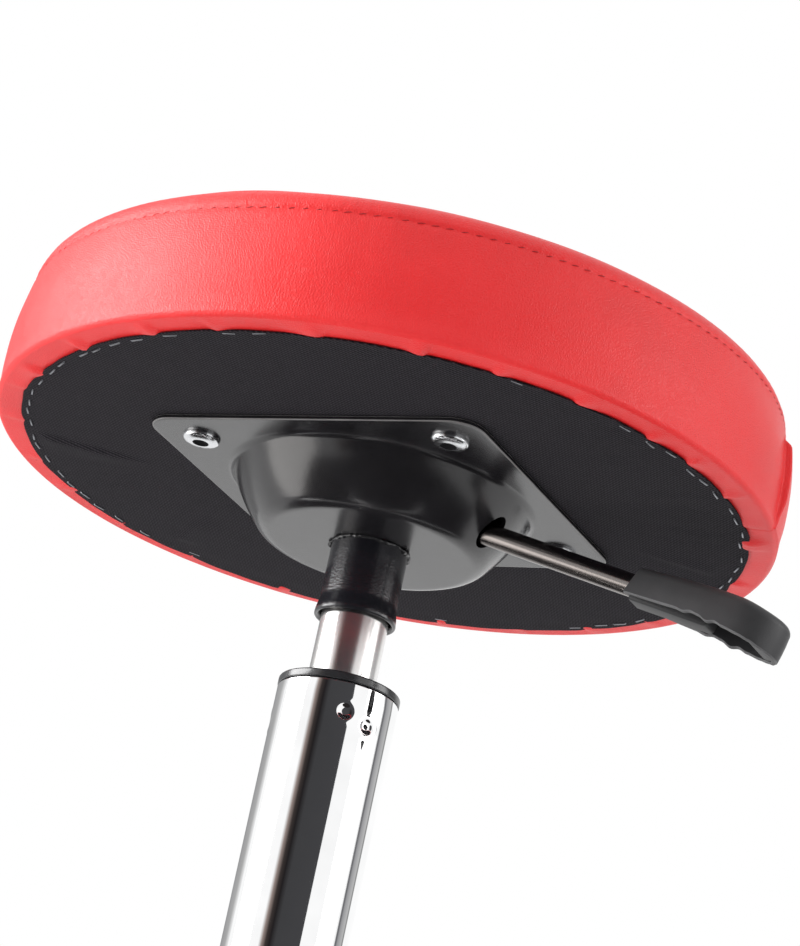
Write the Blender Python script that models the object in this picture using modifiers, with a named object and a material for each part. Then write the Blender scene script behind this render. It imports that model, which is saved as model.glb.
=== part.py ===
"""A mechanic's rolling seat: a round padded seat on a gas lift, over a five-leg base on twin-wheel casters.

Units are metres and +Z is up. The origin is on the floor, on the column's axis, and the seat is at its lowest.
The height lever points along +X, and one leg of the base points along -Y.
"""

import math

import bmesh
import bpy
from mathutils import Matrix, Vector

# Clearance between pieces that touch
GAP = 0.0003

# Casters
WHEEL_RADIUS = 0.0275
WHEEL_WIDTH = 0.0145
WHEEL_EDGE = 0.003
WHEEL_DISH = 0.003
WHEEL_SIDE_GAP = 0.0008
CASTER_TRAIL = 0.0225
CASTER_BODY_WIDTH = 0.017
CASTER_BODY_DROP = 0.010
FENDER_GAP = 0.0015
FENDER_WALL = 0.0025
FENDER_MARGIN = 0.004
AXLE_RADIUS = 0.003
STEM_RADIUS = 0.0055
STEM_DEPTH = 0.024
STEM_COLLAR_RADIUS = 0.0085
STEM_COLLAR_HEIGHT = 0.002
STEM_BOSS_RADIUS = 0.0082
STEM_BOSS_RISE = 0.002

# Five-leg base
LEG_COUNT = 5
LEG_REACH = 0.230
LEG_ROOT_WIDTH = 0.034
LEG_ROOT_HEIGHT = 0.040
LEG_TIP_WIDTH = 0.026
LEG_TIP_HEIGHT = 0.024
LEG_RISE = 0.030
LEG_EDGE = 0.004
LEG_OVERHANG = 0.010
HUB_WALL = 0.008
HUB_MARGIN = 0.008
HUB_LIP = 0.004
HUB_LIP_WIDTH = 0.006

# Column and gas spring
COLUMN_RADIUS = 0.025
COLUMN_WALL = 0.0015
COLUMN_LENGTH = 0.1976
COLUMN_FLOOR = 0.004
BUSHING_RING_HEIGHT = 0.0034
BUSHING_RING_PROUD = 0.0004
BUSHING_LENGTH = 0.070
CYLINDER_RADIUS = 0.014
CYLINDER_WALL = 0.0025
CYLINDER_TOP = 0.010
GLAND_HEIGHT = 0.015
ROD_RADIUS = 0.005
ROD_TAIL = 0.007
ROD_COLLAR_RADIUS = 0.010
ROD_COLLAR_HEIGHT = 0.003
ROD_STEP = 0.0015
PISTON_HEIGHT = 0.010
LIFT_STROKE = 0.115
BEARING_RADIUS = 0.013
BEARING_HEIGHT = 0.006
BUMPER_RADIUS = 0.0125
BUMPER_HEIGHT = 0.016
CLIP_RADIUS = 0.009
CLIP_HEIGHT = 0.0015
VALVE_RADIUS = 0.004
VALVE_HEAD_RADIUS = 0.007
VALVE_HEAD_HEIGHT = 0.004
CYLINDER_SHOWN = 0.0297

# Socket tube, mounting plate and screws
SOCKET_WALL = 0.0017
SOCKET_LENGTH = 0.0318
SOCKET_LIP = 0.0009
SOCKET_LIP_HEIGHT = 0.0025
SOCKET_WELD = 0.0016
PLATE_HALF = 0.075
PLATE_CORNER = 0.012
PLATE_THICKNESS = 0.002
DISH_DEPTH = 0.0245
DISH_HOLE_RADIUS = 0.007
DISH_FLOOR_RADIUS = 0.042
DISH_FLOOR_ROUND = 0.0095
DISH_TOP_RADIUS = 0.0615
DISH_TOP_ROUND = 0.004
SCREW_SPACING = 0.113
SCREW_RADIUS = 0.003
SCREW_HEAD_RADIUS = 0.0078
SCREW_HEAD_HEIGHT = 0.0042
SCREW_RECESS_LENGTH = 0.0046
SCREW_RECESS_WIDTH = 0.0013
SCREW_RECESS_DEPTH = 0.0024
INSERT_WALL = 0.0015

# Height lever
LEVER_RADIUS = 0.0047
LEVER_DROOP = math.radians(16.8)
LEVER_INNER_DROP = 0.0105
LEVER_INNER_REACH = 0.010
LEVER_BEND_X = 0.025
LEVER_BEND_LENGTH = 0.004
LEVER_OUTER_LENGTH = 0.1013
LEVER_PIVOT_X = 0.036
LEVER_PLAY = 0.0004
LEVER_TRAVEL = math.radians(5)
PIVOT_PIN_RADIUS = 0.0015
BRACKET_WALL = 0.002
BRACKET_LENGTH = 0.010
BRACKET_SIDE_GAP = 0.0008
GRIP_LENGTH = 0.0695
GRIP_ROOT_WIDTH = 0.016
GRIP_WIDTH = 0.030
GRIP_RISE = 0.0072
GRIP_DROP = 0.0076
GRIP_WALL = 0.0025
GRIP_SLEEVE_WALL = 0.0020
GRIP_SLEEVE_LENGTH = 0.038

# Seat
SEAT_RADIUS = 0.1640
SEAT_DRAW_IN = 0.004
SEAT_SIDE_HEIGHT = 0.049
SEAT_SHOULDER_ROUND = 0.0115
SEAT_SHOULDER_END = 81
SEAT_CROWN = 0.0105
SEAT_FLAT_RADIUS = 0.020
SEAT_EDGE_ROUND = 0.004
COVER_THICKNESS = 0.0012
COVER_FOLD = 0.020
BOARD_THICKNESS = 0.012
DUST_COVER_MARGIN = 0.0126
DUST_COVER_THICKNESS = 0.0008

# Facets
FINE = 56
MEDIUM = 48
PADDED = 36
COARSE = 24
WHEEL_STEPS = 18
SMALL = 16
TINY = 12

# Heights worked out from the floor up
AXLE_Z = WHEEL_RADIUS
FENDER_INNER = WHEEL_RADIUS + FENDER_GAP
FENDER_OUTER = FENDER_INNER + FENDER_WALL
HOUSING_TOP = AXLE_Z + FENDER_OUTER + STEM_BOSS_RISE
LEG_TIP_BOTTOM = HOUSING_TOP + GAP + STEM_COLLAR_HEIGHT + GAP
LEG_TIP_TOP = LEG_TIP_BOTTOM + LEG_TIP_HEIGHT
LEG_ROOT_TOP = LEG_TIP_TOP + LEG_RISE
LEG_ROOT_BOTTOM = LEG_ROOT_TOP - LEG_ROOT_HEIGHT
HUB_BOTTOM = LEG_ROOT_BOTTOM - HUB_MARGIN
HUB_TOP = LEG_ROOT_TOP + HUB_MARGIN
HUB_BORE = COLUMN_RADIUS + GAP
HUB_RADIUS = HUB_BORE + HUB_WALL
COLUMN_BOTTOM = HUB_BOTTOM + HUB_LIP + GAP
COLUMN_TOP = COLUMN_BOTTOM + COLUMN_LENGTH
RING_TOP = COLUMN_TOP + GAP + BUSHING_RING_HEIGHT
SOCKET_BOTTOM = RING_TOP + CYLINDER_SHOWN
SOCKET_TOP = SOCKET_BOTTOM + SOCKET_LENGTH
DISH_BOTTOM = SOCKET_TOP + GAP
DISH_FLOOR_TOP = DISH_BOTTOM + PLATE_THICKNESS
PLATE_BOTTOM = DISH_BOTTOM + DISH_DEPTH
PLATE_TOP = PLATE_BOTTOM + PLATE_THICKNESS
SEAT_BOTTOM = PLATE_TOP + GAP
DUST_COVER_RADIUS = SEAT_RADIUS - DUST_COVER_MARGIN
FOLD_BOTTOM = SEAT_BOTTOM + DUST_COVER_THICKNESS + GAP
BOARD_BOTTOM = FOLD_BOTTOM + COVER_THICKNESS + GAP
BOARD_TOP = BOARD_BOTTOM + BOARD_THICKNESS

# Gas spring, from the column's floor up
FLOOR_TOP = COLUMN_BOTTOM + COLUMN_FLOOR
BEARING_BOTTOM = FLOOR_TOP + GAP
COLLAR_BOTTOM = BEARING_BOTTOM + BEARING_HEIGHT + GAP
BUMPER_BOTTOM = COLLAR_BOTTOM + ROD_COLLAR_HEIGHT + GAP
CYLINDER_BOTTOM = BUMPER_BOTTOM + BUMPER_HEIGHT + GAP
CYLINDER_END = DISH_BOTTOM - GAP
CYLINDER_BORE = CYLINDER_RADIUS - CYLINDER_WALL
CYLINDER_ROOF = CYLINDER_END - CYLINDER_TOP
GLAND_TOP = CYLINDER_BOTTOM + GLAND_HEIGHT
PISTON_BOTTOM = GLAND_TOP + GAP + LIFT_STROKE
PISTON_SEAT_RADIUS = ROD_RADIUS - ROD_STEP
SOCKET_BORE = CYLINDER_RADIUS + GAP
SOCKET_RADIUS = SOCKET_BORE + SOCKET_WALL

# Lever, in the vertical plane through +X
LEVER_INNER_Z = SEAT_BOTTOM - LEVER_INNER_DROP
LEVER_DIRECTION = Vector((math.cos(LEVER_DROOP), 0, -math.sin(LEVER_DROOP)))
LEVER_BEND = Vector((LEVER_BEND_X, 0, LEVER_INNER_Z))
LEVER_PIVOT = LEVER_BEND + LEVER_DIRECTION * ((LEVER_PIVOT_X - LEVER_BEND_X) / math.cos(LEVER_DROOP))
GRIP_ROOT = LEVER_BEND + LEVER_DIRECTION * LEVER_OUTER_LENGTH
VALVE_TOP = LEVER_INNER_Z - LEVER_RADIUS - LEVER_PLAY
VALVE_HOLE = VALVE_RADIUS + GAP

MATERIALS = {
    "leatherette": ((0.72, 0.045, 0.045), 0.45, 0.0),
    "foam": ((0.85, 0.78, 0.55), 0.95, 0.0),
    "plywood": ((0.62, 0.45, 0.27), 0.7, 0.0),
    "dust_fabric": ((0.022, 0.022, 0.026), 0.95, 0.0),
    "black_enamel": ((0.02, 0.02, 0.022), 0.2, 0.0),
    "zinc": ((0.75, 0.76, 0.78), 0.25, 1.0),
    "bare_steel": ((0.62, 0.61, 0.59), 0.25, 1.0),
    "chrome": ((0.86, 0.87, 0.88), 0.06, 1.0),
    "black_plastic": ((0.03, 0.03, 0.032), 0.5, 0.0),
    "rubber": ((0.03, 0.03, 0.03), 0.8, 0.0),
    "brass": ((0.72, 0.55, 0.25), 0.35, 1.0),
}


def start():
    """Clears the scene and makes one collection for the parts and one for the cutters."""
    for obj in list(bpy.data.objects):
        bpy.data.objects.remove(obj, do_unlink=True)
    collections = []
    for name in ("mechanic_rolling_seat", "cutters"):
        collection = bpy.data.collections.new(name)
        bpy.context.scene.collection.children.link(collection)
        collections.append(collection)
    return collections


PARTS, CUTTERS = start()


def material(name):
    """The named material, made on first use."""
    found = bpy.data.materials.get(name)
    if found:
        return found
    colour, roughness, metallic = MATERIALS[name]
    made = bpy.data.materials.new(name)
    made.use_nodes = True
    shader = made.node_tree.nodes["Principled BSDF"]
    shader.inputs["Base Color"].default_value = (*colour, 1)
    shader.inputs["Roughness"].default_value = roughness
    shader.inputs["Metallic"].default_value = metallic
    return made


def part(name, mesh, finish, location=(0, 0, 0), turn=0.0, parent=None):
    """A visible piece of the seat, turned about Z and set at a place."""
    obj = bpy.data.objects.new(name, mesh)
    PARTS.objects.link(obj)
    if not mesh.materials:
        mesh.materials.append(material(finish))
    obj.parent = parent
    obj.location = location
    obj.rotation_euler.z = turn
    return obj


def empty(name, location, turn=0.0, tilt=0.0):
    """A frame on a joint's axis or at an arm's end, for pieces to be parented to."""
    obj = bpy.data.objects.new(name, None)
    PARTS.objects.link(obj)
    obj.location = location
    obj.rotation_euler = (0, tilt, turn)
    return obj


def helper(name, mesh, parent=None):
    """A shape that only cuts or joins another piece."""
    obj = bpy.data.objects.new(name, mesh)
    CUTTERS.objects.link(obj)
    obj.parent = parent
    obj.hide_render = True
    obj.display_type = "WIRE"
    return obj


def boolean(obj, other, operation="DIFFERENCE"):
    """Cuts a helper from a piece, or joins it on."""
    modifier = obj.modifiers.new(f"{operation.lower()}_{other.name}", "BOOLEAN")
    modifier.operation = operation
    modifier.object = other
    modifier.solver = "EXACT"
    return obj


def baked(obj, smooth_angle=math.radians(35)):
    """The object's evaluated mesh as a plain mesh, welded and shaded smooth."""
    bpy.context.view_layer.update()
    graph = bpy.context.evaluated_depsgraph_get()
    mesh = bpy.data.meshes.new_from_object(obj.evaluated_get(graph))
    shape = bmesh.new()
    shape.from_mesh(mesh)
    bmesh.ops.remove_doubles(shape, verts=shape.verts, dist=1e-6)
    shape.to_mesh(mesh)
    shape.free()
    mesh.shade_smooth()
    mesh.set_sharp_from_angle(angle=smooth_angle)
    return mesh


def remove_helpers(*objects):
    for obj in objects:
        bpy.data.objects.remove(obj, do_unlink=True)


def turned_mesh(name, profile, steps):
    """A profile of (radius, height) turned about Z. It runs down its outer side, and is a ring unless it starts on the axis."""
    outline = bpy.data.meshes.new(f"{name}_profile")
    edges = [(i, i + 1) for i in range(len(profile) - 1)]
    if profile[0][0] > 0:
        edges.append((len(profile) - 1, 0))
    outline.from_pydata([(radius, 0, height) for radius, height in profile], edges, [])
    guide = helper(f"{name}_guide", outline)
    screw = guide.modifiers.new("turn", "SCREW")
    screw.axis = "Z"
    screw.steps = steps
    screw.render_steps = steps
    screw.use_merge_vertices = True
    screw.merge_threshold = 1e-6
    mesh = baked(guide)
    mesh.name = name
    remove_helpers(guide)
    return mesh


def turned(name, profile, finish, steps=COARSE, **place):
    return part(name, turned_mesh(name, profile, steps), finish, **place)


def tube_profile(outer, inner, bottom, top):
    """A plain ring's profile."""
    return [(outer, top), (outer, bottom), (inner, bottom), (inner, top)]


def cylinder_mesh(name, radius, bottom, top, steps=COARSE, along="Z"):
    """A cylinder between two heights, or the same along X or Y."""
    shape = bmesh.new()
    turn = {
        "X": Matrix.Rotation(math.pi / 2, 4, "Y"),
        "Y": Matrix.Rotation(-math.pi / 2, 4, "X"),
        "Z": Matrix.Identity(4),
    }[along]
    middle = Matrix.Translation((0, 0, (bottom + top) / 2))
    bmesh.ops.create_cone(
        shape,
        cap_ends=True,
        segments=steps,
        radius1=radius,
        radius2=radius,
        depth=top - bottom,
        matrix=turn @ middle,
    )
    mesh = bpy.data.meshes.new(name)
    shape.to_mesh(mesh)
    shape.free()
    mesh.shade_smooth()
    mesh.set_sharp_from_angle(angle=math.radians(35))
    return mesh


def box_mesh(name, low, high):
    """A box between two corners."""
    low, high = Vector(low), Vector(high)
    shape = bmesh.new()
    bmesh.ops.create_cube(
        shape, size=1, matrix=Matrix.Translation((low + high) / 2) @ Matrix.Diagonal((*(high - low), 1))
    )
    mesh = bpy.data.meshes.new(name)
    shape.to_mesh(mesh)
    shape.free()
    return mesh


def slab_mesh(name, outline, bottom, top):
    """A flat outline in X and Y, extruded between two heights."""
    curve = bpy.data.curves.new(name, "CURVE")
    curve.dimensions = "2D"
    curve.fill_mode = "BOTH"
    curve.extrude = (top - bottom) / 2
    spline = curve.splines.new("POLY")
    spline.points.add(len(outline) - 1)
    spline.use_cyclic_u = True
    for point, (x, y) in zip(spline.points, outline):
        point.co = (x, y, 0, 1)
    guide = helper(f"{name}_guide", curve)
    mesh = baked(guide)
    mesh.transform(Matrix.Translation((0, 0, (bottom + top) / 2)))
    mesh.name = name
    remove_helpers(guide)
    return mesh


def arc(centre, radius, start, end, count):
    """Points on an arc, from one angle to another, in degrees."""
    angles = [math.radians(start + (end - start) * i / (count - 1)) for i in range(count)]
    return [(centre[0] + radius * math.cos(a), centre[1] + radius * math.sin(a)) for a in angles]


# Seat: the cover, with the foam and the board inside it


def seat_outline(inset):
    """The padded seat's outline from its crown, over its shoulder and down to under its rim, moved inwards by inset."""
    shoulder = (SEAT_RADIUS - SEAT_DRAW_IN - SEAT_SHOULDER_ROUND, SEAT_BOTTOM + SEAT_SIDE_HEIGHT)
    over = arc(shoulder, SEAT_SHOULDER_ROUND - inset, SEAT_SHOULDER_END, 0, 5)
    edge_radius, edge_z = over[0]
    points = []
    for i in range(4):
        share = i / 4
        points.append((SEAT_FLAT_RADIUS + (edge_radius - SEAT_FLAT_RADIUS) * share, edge_z + SEAT_CROWN * (1 - share**2)))
    points += over
    corner = (SEAT_RADIUS - SEAT_EDGE_ROUND, FOLD_BOTTOM + SEAT_EDGE_ROUND)
    side_bottom = BOARD_TOP + SEAT_EDGE_ROUND
    for share in (0.5, 1.0):
        bulge = SEAT_DRAW_IN * (1 - math.sin(share * math.pi / 2))
        points.append((SEAT_RADIUS - bulge - inset, shoulder[1] + (side_bottom - shoulder[1]) * share))
    points += arc(corner, SEAT_EDGE_ROUND - inset, 0, -90, 4)
    return points


def seat_pieces():
    outer = seat_outline(0)
    inner = seat_outline(COVER_THICKNESS)
    fold_edge = SEAT_RADIUS - COVER_FOLD
    cover = [(0, outer[0][1])] + outer + [(fold_edge, FOLD_BOTTOM), (fold_edge, FOLD_BOTTOM + COVER_THICKNESS)]
    cover += inner[::-1] + [(0, inner[0][1])]
    turned("seat_cover", cover, "leatherette", PADDED)

    filling = seat_outline(COVER_THICKNESS + GAP)
    side = SEAT_RADIUS - COVER_THICKNESS - GAP
    above = [point for point in filling if point[1] > BOARD_TOP + GAP]
    foam_bottom = BOARD_TOP + GAP
    foam = [(0, filling[0][1])] + above + [(side, foam_bottom), (0, foam_bottom)]
    turned("seat_foam", foam, "foam", PADDED)
    below = [point for point in filling if point[1] < BOARD_TOP]
    board = [(0, BOARD_TOP), (side, BOARD_TOP)] + below + [(0, BOARD_BOTTOM)]
    board = turned("seat_board", board, "plywood", PADDED)
    dust = [(0, SEAT_BOTTOM + DUST_COVER_THICKNESS), (DUST_COVER_RADIUS, SEAT_BOTTOM + DUST_COVER_THICKNESS)]
    dust += [(DUST_COVER_RADIUS, SEAT_BOTTOM), (0, SEAT_BOTTOM)]
    dust_cover = turned("dust_cover", dust, "dust_fabric", MEDIUM)
    return board, dust_cover


# Mounting plate with its pressed dish


def plate_outline():
    """The plate's rounded square, as points that are close together at the corners."""
    inner = PLATE_HALF - PLATE_CORNER
    points = []
    for quarter in range(4):
        turn = Matrix.Rotation(quarter * math.pi / 2, 2)
        corner = arc((inner, inner), PLATE_CORNER, 0, 90, 5)
        edge = [(inner * (1 - 2 * i / 7), PLATE_HALF) for i in range(1, 7)]
        points += [turn @ Vector(point) for point in corner + edge]
    return points


def dish_section():
    """(radius, height) from the valve's hole, across the dish's floor and up its wall to the flange."""
    floor_centre = (DISH_FLOOR_RADIUS, DISH_BOTTOM + DISH_FLOOR_ROUND)
    rim_centre = (DISH_TOP_RADIUS + DISH_TOP_ROUND, PLATE_BOTTOM - DISH_TOP_ROUND)
    run, rise = rim_centre[0] - floor_centre[0], rim_centre[1] - floor_centre[1]
    slope = math.atan2(rise, run) + math.asin((DISH_FLOOR_ROUND + DISH_TOP_ROUND) / math.hypot(run, rise))
    wall = 90 - math.degrees(slope)
    section = [(DISH_HOLE_RADIUS, DISH_BOTTOM)]
    section += arc(floor_centre, DISH_FLOOR_ROUND, -90, -wall, 4)
    section += arc(rim_centre, DISH_TOP_ROUND, 180 - wall, 90, 4)
    return section


def mounting_plate():
    """One sheet lofted from the dish's rings to the square edge, then thickened upwards."""
    shape = bmesh.new()
    outline = plate_outline()
    rings = []
    for radius, height in dish_section():
        rings.append([shape.verts.new((*(point.normalized() * radius), height)) for point in outline])
    rings.append([shape.verts.new((*point, PLATE_BOTTOM)) for point in outline])
    count = len(outline)
    for low, high in zip(rings, rings[1:]):
        for i in range(count):
            j = (i + 1) % count
            shape.faces.new((low[i], low[j], high[j], high[i]))
    bmesh.ops.recalc_face_normals(shape, faces=shape.faces)
    if sum(face.normal.z for face in shape.faces) > 0:
        bmesh.ops.reverse_faces(shape, faces=shape.faces)
    mesh = bpy.data.meshes.new("mounting_plate")
    shape.to_mesh(mesh)
    shape.free()
    mesh.shade_smooth()
    plate = part("mounting_plate", mesh, "black_enamel")
    sheet = plate.modifiers.new("thickness", "SOLIDIFY")
    sheet.thickness = PLATE_THICKNESS
    sheet.offset = -1
    sheet.use_even_offset = True
    return plate


def lever_slot(plate):
    """The hole in the dish's wall that the lever comes out of, taller than the rod so that the lever can tilt."""
    frame = empty("lever_slot_frame", LEVER_PIVOT, tilt=LEVER_DROOP)
    wall_distance = (DISH_TOP_RADIUS - LEVER_PIVOT_X) / math.cos(LEVER_DROOP)
    lift = wall_distance * math.sin(LEVER_TRAVEL)
    half_width = LEVER_RADIUS + LEVER_PLAY
    mesh = cylinder_mesh("lever_slot", half_width, wall_distance * 0.4, wall_distance * 1.5, COARSE, "X")
    mesh.transform(Matrix.Diagonal((1, 1, (half_width + lift / 2) / half_width, 1)))
    mesh.transform(Matrix.Translation((0, 0, lift / 2)))
    boolean(plate, helper("lever_slot_cutter", mesh, frame))


def screws(plate, dust_cover, board):
    """Four domed screws through the plate and the dust cover, into inserts in the board."""
    half = SCREW_SPACING / 2
    insert_bore = SCREW_RADIUS + GAP
    insert_radius = insert_bore + INSERT_WALL
    head_top = PLATE_BOTTOM - GAP
    shank_end = BOARD_TOP - GAP
    head = arc((0, 0), 1, 0, -90, 6)
    profile = [(0, shank_end), (SCREW_RADIUS, shank_end), (SCREW_RADIUS, head_top), (SCREW_HEAD_RADIUS, head_top)]
    profile += [(SCREW_HEAD_RADIUS * x, head_top + SCREW_HEAD_HEIGHT * y) for x, y in head[1:-1]]
    profile += [(0, head_top - SCREW_HEAD_HEIGHT)]
    body = helper("screw_body", turned_mesh("screw_body", profile, SMALL))
    low = head_top - SCREW_HEAD_HEIGHT - GAP
    high = head_top - SCREW_HEAD_HEIGHT + SCREW_RECESS_DEPTH
    cross = []
    for name, x, y in (
        ("recess_x", SCREW_RECESS_LENGTH, SCREW_RECESS_WIDTH),
        ("recess_y", SCREW_RECESS_WIDTH, SCREW_RECESS_LENGTH),
    ):
        cutter = helper(name, box_mesh(name, (-x / 2, -y / 2, low), (x / 2, y / 2, high)))
        boolean(body, cutter)
        cross.append(cutter)
    screw_mesh = baked(body)
    screw_mesh.name = "seat_screw"
    remove_helpers(body, *cross)
    insert = tube_profile(insert_radius, insert_bore, BOARD_BOTTOM, BOARD_TOP - GAP)
    insert_mesh = turned_mesh("screw_insert", insert, TINY)
    for i, (x, y) in enumerate(((-half, -half), (half, -half), (half, half), (-half, half)), 1):
        part(f"seat_screw_{i}", screw_mesh, "zinc", (x, y, 0))
        part(f"screw_insert_{i}", insert_mesh, "brass", (x, y, 0))
        for piece, hole in ((plate, insert_bore), (dust_cover, insert_bore), (board, insert_radius + GAP)):
            name = f"{piece.name}_hole_{i}"
            cutter = helper(name, cylinder_mesh(name, hole, PLATE_BOTTOM - GAP, BOARD_TOP + GAP, SMALL))
            cutter.location = (x, y, 0)
            boolean(piece, cutter)


# Gas spring, column and socket


def socket_tube():
    lip_top = SOCKET_BOTTOM + SOCKET_LIP_HEIGHT
    profile = [
        (SOCKET_RADIUS + SOCKET_WELD, SOCKET_TOP),
        (SOCKET_RADIUS, SOCKET_TOP - SOCKET_WELD),
        (SOCKET_RADIUS, lip_top),
        (SOCKET_RADIUS + SOCKET_LIP, lip_top - SOCKET_LIP),
        (SOCKET_RADIUS + SOCKET_LIP, SOCKET_BOTTOM),
        (SOCKET_BORE, SOCKET_BOTTOM),
        (SOCKET_BORE, SOCKET_TOP),
    ]
    turned("socket_tube", profile, "black_enamel", MEDIUM)


def gas_spring():
    cylinder = [
        (CYLINDER_RADIUS, CYLINDER_END),
        (CYLINDER_RADIUS, CYLINDER_BOTTOM),
        (CYLINDER_BORE, CYLINDER_BOTTOM),
        (CYLINDER_BORE, CYLINDER_ROOF),
        (VALVE_HOLE, CYLINDER_ROOF),
        (VALVE_HOLE, CYLINDER_END),
    ]
    turned("gas_cylinder", cylinder, "bare_steel", MEDIUM)
    gland = tube_profile(CYLINDER_BORE - GAP, ROD_RADIUS + GAP, CYLINDER_BOTTOM, GLAND_TOP)
    turned("cylinder_gland", gland, "black_plastic")
    valve_head_top = CYLINDER_ROOF - GAP
    valve = [(0, VALVE_TOP), (VALVE_RADIUS, VALVE_TOP), (VALVE_RADIUS, valve_head_top)]
    valve += [(VALVE_HEAD_RADIUS, valve_head_top), (VALVE_HEAD_RADIUS, valve_head_top - VALVE_HEAD_HEIGHT)]
    valve += [(0, valve_head_top - VALVE_HEAD_HEIGHT)]
    turned("valve_pin", valve, "bare_steel", SMALL)

    rod_top = PISTON_BOTTOM + PISTON_HEIGHT
    step = PISTON_BOTTOM - GAP
    collar_top = COLLAR_BOTTOM + ROD_COLLAR_HEIGHT
    rod_end = COLUMN_BOTTOM - GAP - CLIP_HEIGHT - ROD_TAIL
    groove_top = COLUMN_BOTTOM - GAP / 2
    groove_bottom = groove_top - CLIP_HEIGHT - GAP
    rod = [
        (0, rod_top),
        (PISTON_SEAT_RADIUS, rod_top),
        (PISTON_SEAT_RADIUS, step),
        (ROD_RADIUS, step),
        (ROD_RADIUS, collar_top),
        (ROD_COLLAR_RADIUS, collar_top),
        (ROD_COLLAR_RADIUS, COLLAR_BOTTOM),
        (ROD_RADIUS, COLLAR_BOTTOM),
        (ROD_RADIUS, groove_top),
        (PISTON_SEAT_RADIUS, groove_top),
        (PISTON_SEAT_RADIUS, groove_bottom),
        (ROD_RADIUS, groove_bottom),
        (ROD_RADIUS, rod_end),
        (0, rod_end),
    ]
    turned("piston_rod", rod, "bare_steel", SMALL)
    seat = PISTON_SEAT_RADIUS + GAP
    piston = tube_profile(CYLINDER_BORE - GAP, seat, PISTON_BOTTOM, rod_top)
    turned("piston", piston, "black_plastic")
    clip_top = groove_top - GAP / 2
    turned("rod_clip", tube_profile(CLIP_RADIUS, seat, clip_top - CLIP_HEIGHT, clip_top), "bare_steel", SMALL)
    around_rod = ROD_RADIUS + GAP
    bearing = tube_profile(BEARING_RADIUS, around_rod, BEARING_BOTTOM, BEARING_BOTTOM + BEARING_HEIGHT)
    turned("thrust_bearing", bearing, "bare_steel")
    bumper = tube_profile(BUMPER_RADIUS, around_rod, BUMPER_BOTTOM, BUMPER_BOTTOM + BUMPER_HEIGHT)
    turned("rubber_bumper", bumper, "rubber")


def column():
    bore = COLUMN_RADIUS - COLUMN_WALL
    tube = [
        (COLUMN_RADIUS, COLUMN_TOP),
        (COLUMN_RADIUS, COLUMN_BOTTOM),
        (ROD_RADIUS + GAP, COLUMN_BOTTOM),
        (ROD_RADIUS + GAP, FLOOR_TOP),
        (bore, FLOOR_TOP),
        (bore, COLUMN_TOP),
    ]
    turned("column_tube", tube, "chrome", FINE)
    ring_radius = COLUMN_RADIUS + BUSHING_RING_PROUD
    sleeve = bore - GAP
    inside = CYLINDER_RADIUS + GAP
    ring_bottom = COLUMN_TOP + GAP
    bushing = [
        (ring_radius, RING_TOP),
        (ring_radius, ring_bottom),
        (sleeve, ring_bottom),
        (sleeve, RING_TOP - BUSHING_LENGTH),
        (inside, RING_TOP - BUSHING_LENGTH),
        (inside, RING_TOP),
    ]
    turned("column_bushing", bushing, "black_plastic", FINE)


# Height lever


def lever_rod():
    """A bent steel rod: level over the valve, then drooping out through the dish's wall into the grip."""
    before = LEVER_BEND - Vector((LEVER_BEND_LENGTH, 0, 0))
    after = LEVER_BEND + LEVER_DIRECTION * LEVER_BEND_LENGTH
    route = [
        Vector((-LEVER_INNER_REACH, 0, LEVER_INNER_Z)),
        before,
        (before + after + LEVER_BEND * 2) / 4,
        after,
        GRIP_ROOT + LEVER_DIRECTION * (GRIP_SLEEVE_LENGTH - GAP),
    ]
    curve = bpy.data.curves.new("lever_rod", "CURVE")
    curve.dimensions = "3D"
    curve.bevel_depth = LEVER_RADIUS
    curve.bevel_resolution = 4
    curve.use_fill_caps = True
    spline = curve.splines.new("POLY")
    spline.points.add(len(route) - 1)
    for point, place in zip(spline.points, route):
        point.co = (*place, 1)
    guide = helper("lever_rod_guide", curve)
    mesh = baked(guide)
    mesh.name = "lever_rod"
    remove_helpers(guide)
    mesh.transform(Matrix.Translation(-LEVER_PIVOT))
    rod = part("lever_rod", mesh, "bare_steel", LEVER_PIVOT)
    reach = LEVER_RADIUS * 2
    hole = helper("lever_pin_hole", cylinder_mesh("pin_hole", PIVOT_PIN_RADIUS + GAP, -reach, reach, SMALL, "Y"))
    hole.location = LEVER_PIVOT
    boolean(rod, hole)


def lever_bracket():
    """A small channel on the dish's floor that holds the lever's pivot pin."""
    inner = LEVER_RADIUS + BRACKET_SIDE_GAP
    outer = inner + BRACKET_WALL
    half_length = BRACKET_LENGTH / 2
    bottom = DISH_FLOOR_TOP + GAP
    top = LEVER_PIVOT.z + LEVER_RADIUS
    x = LEVER_PIVOT_X
    channel = box_mesh("lever_bracket", (x - half_length, -outer, bottom), (x + half_length, outer, top))
    bracket = part("lever_bracket", channel, "bare_steel")
    low = (x - BRACKET_LENGTH, -inner, bottom + BRACKET_WALL)
    high = (x + BRACKET_LENGTH, inner, top + BRACKET_WALL)
    boolean(bracket, helper("bracket_channel", box_mesh("bracket_channel", low, high)))
    hole = helper("bracket_hole", cylinder_mesh("hole", PIVOT_PIN_RADIUS + GAP, -2 * outer, 2 * outer, SMALL, "Y"))
    hole.location = LEVER_PIVOT
    boolean(bracket, hole)
    pin = cylinder_mesh("lever_pivot_pin", PIVOT_PIN_RADIUS, -outer, outer, SMALL, "Y")
    part("lever_pivot_pin", pin, "bare_steel", LEVER_PIVOT)


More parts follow.
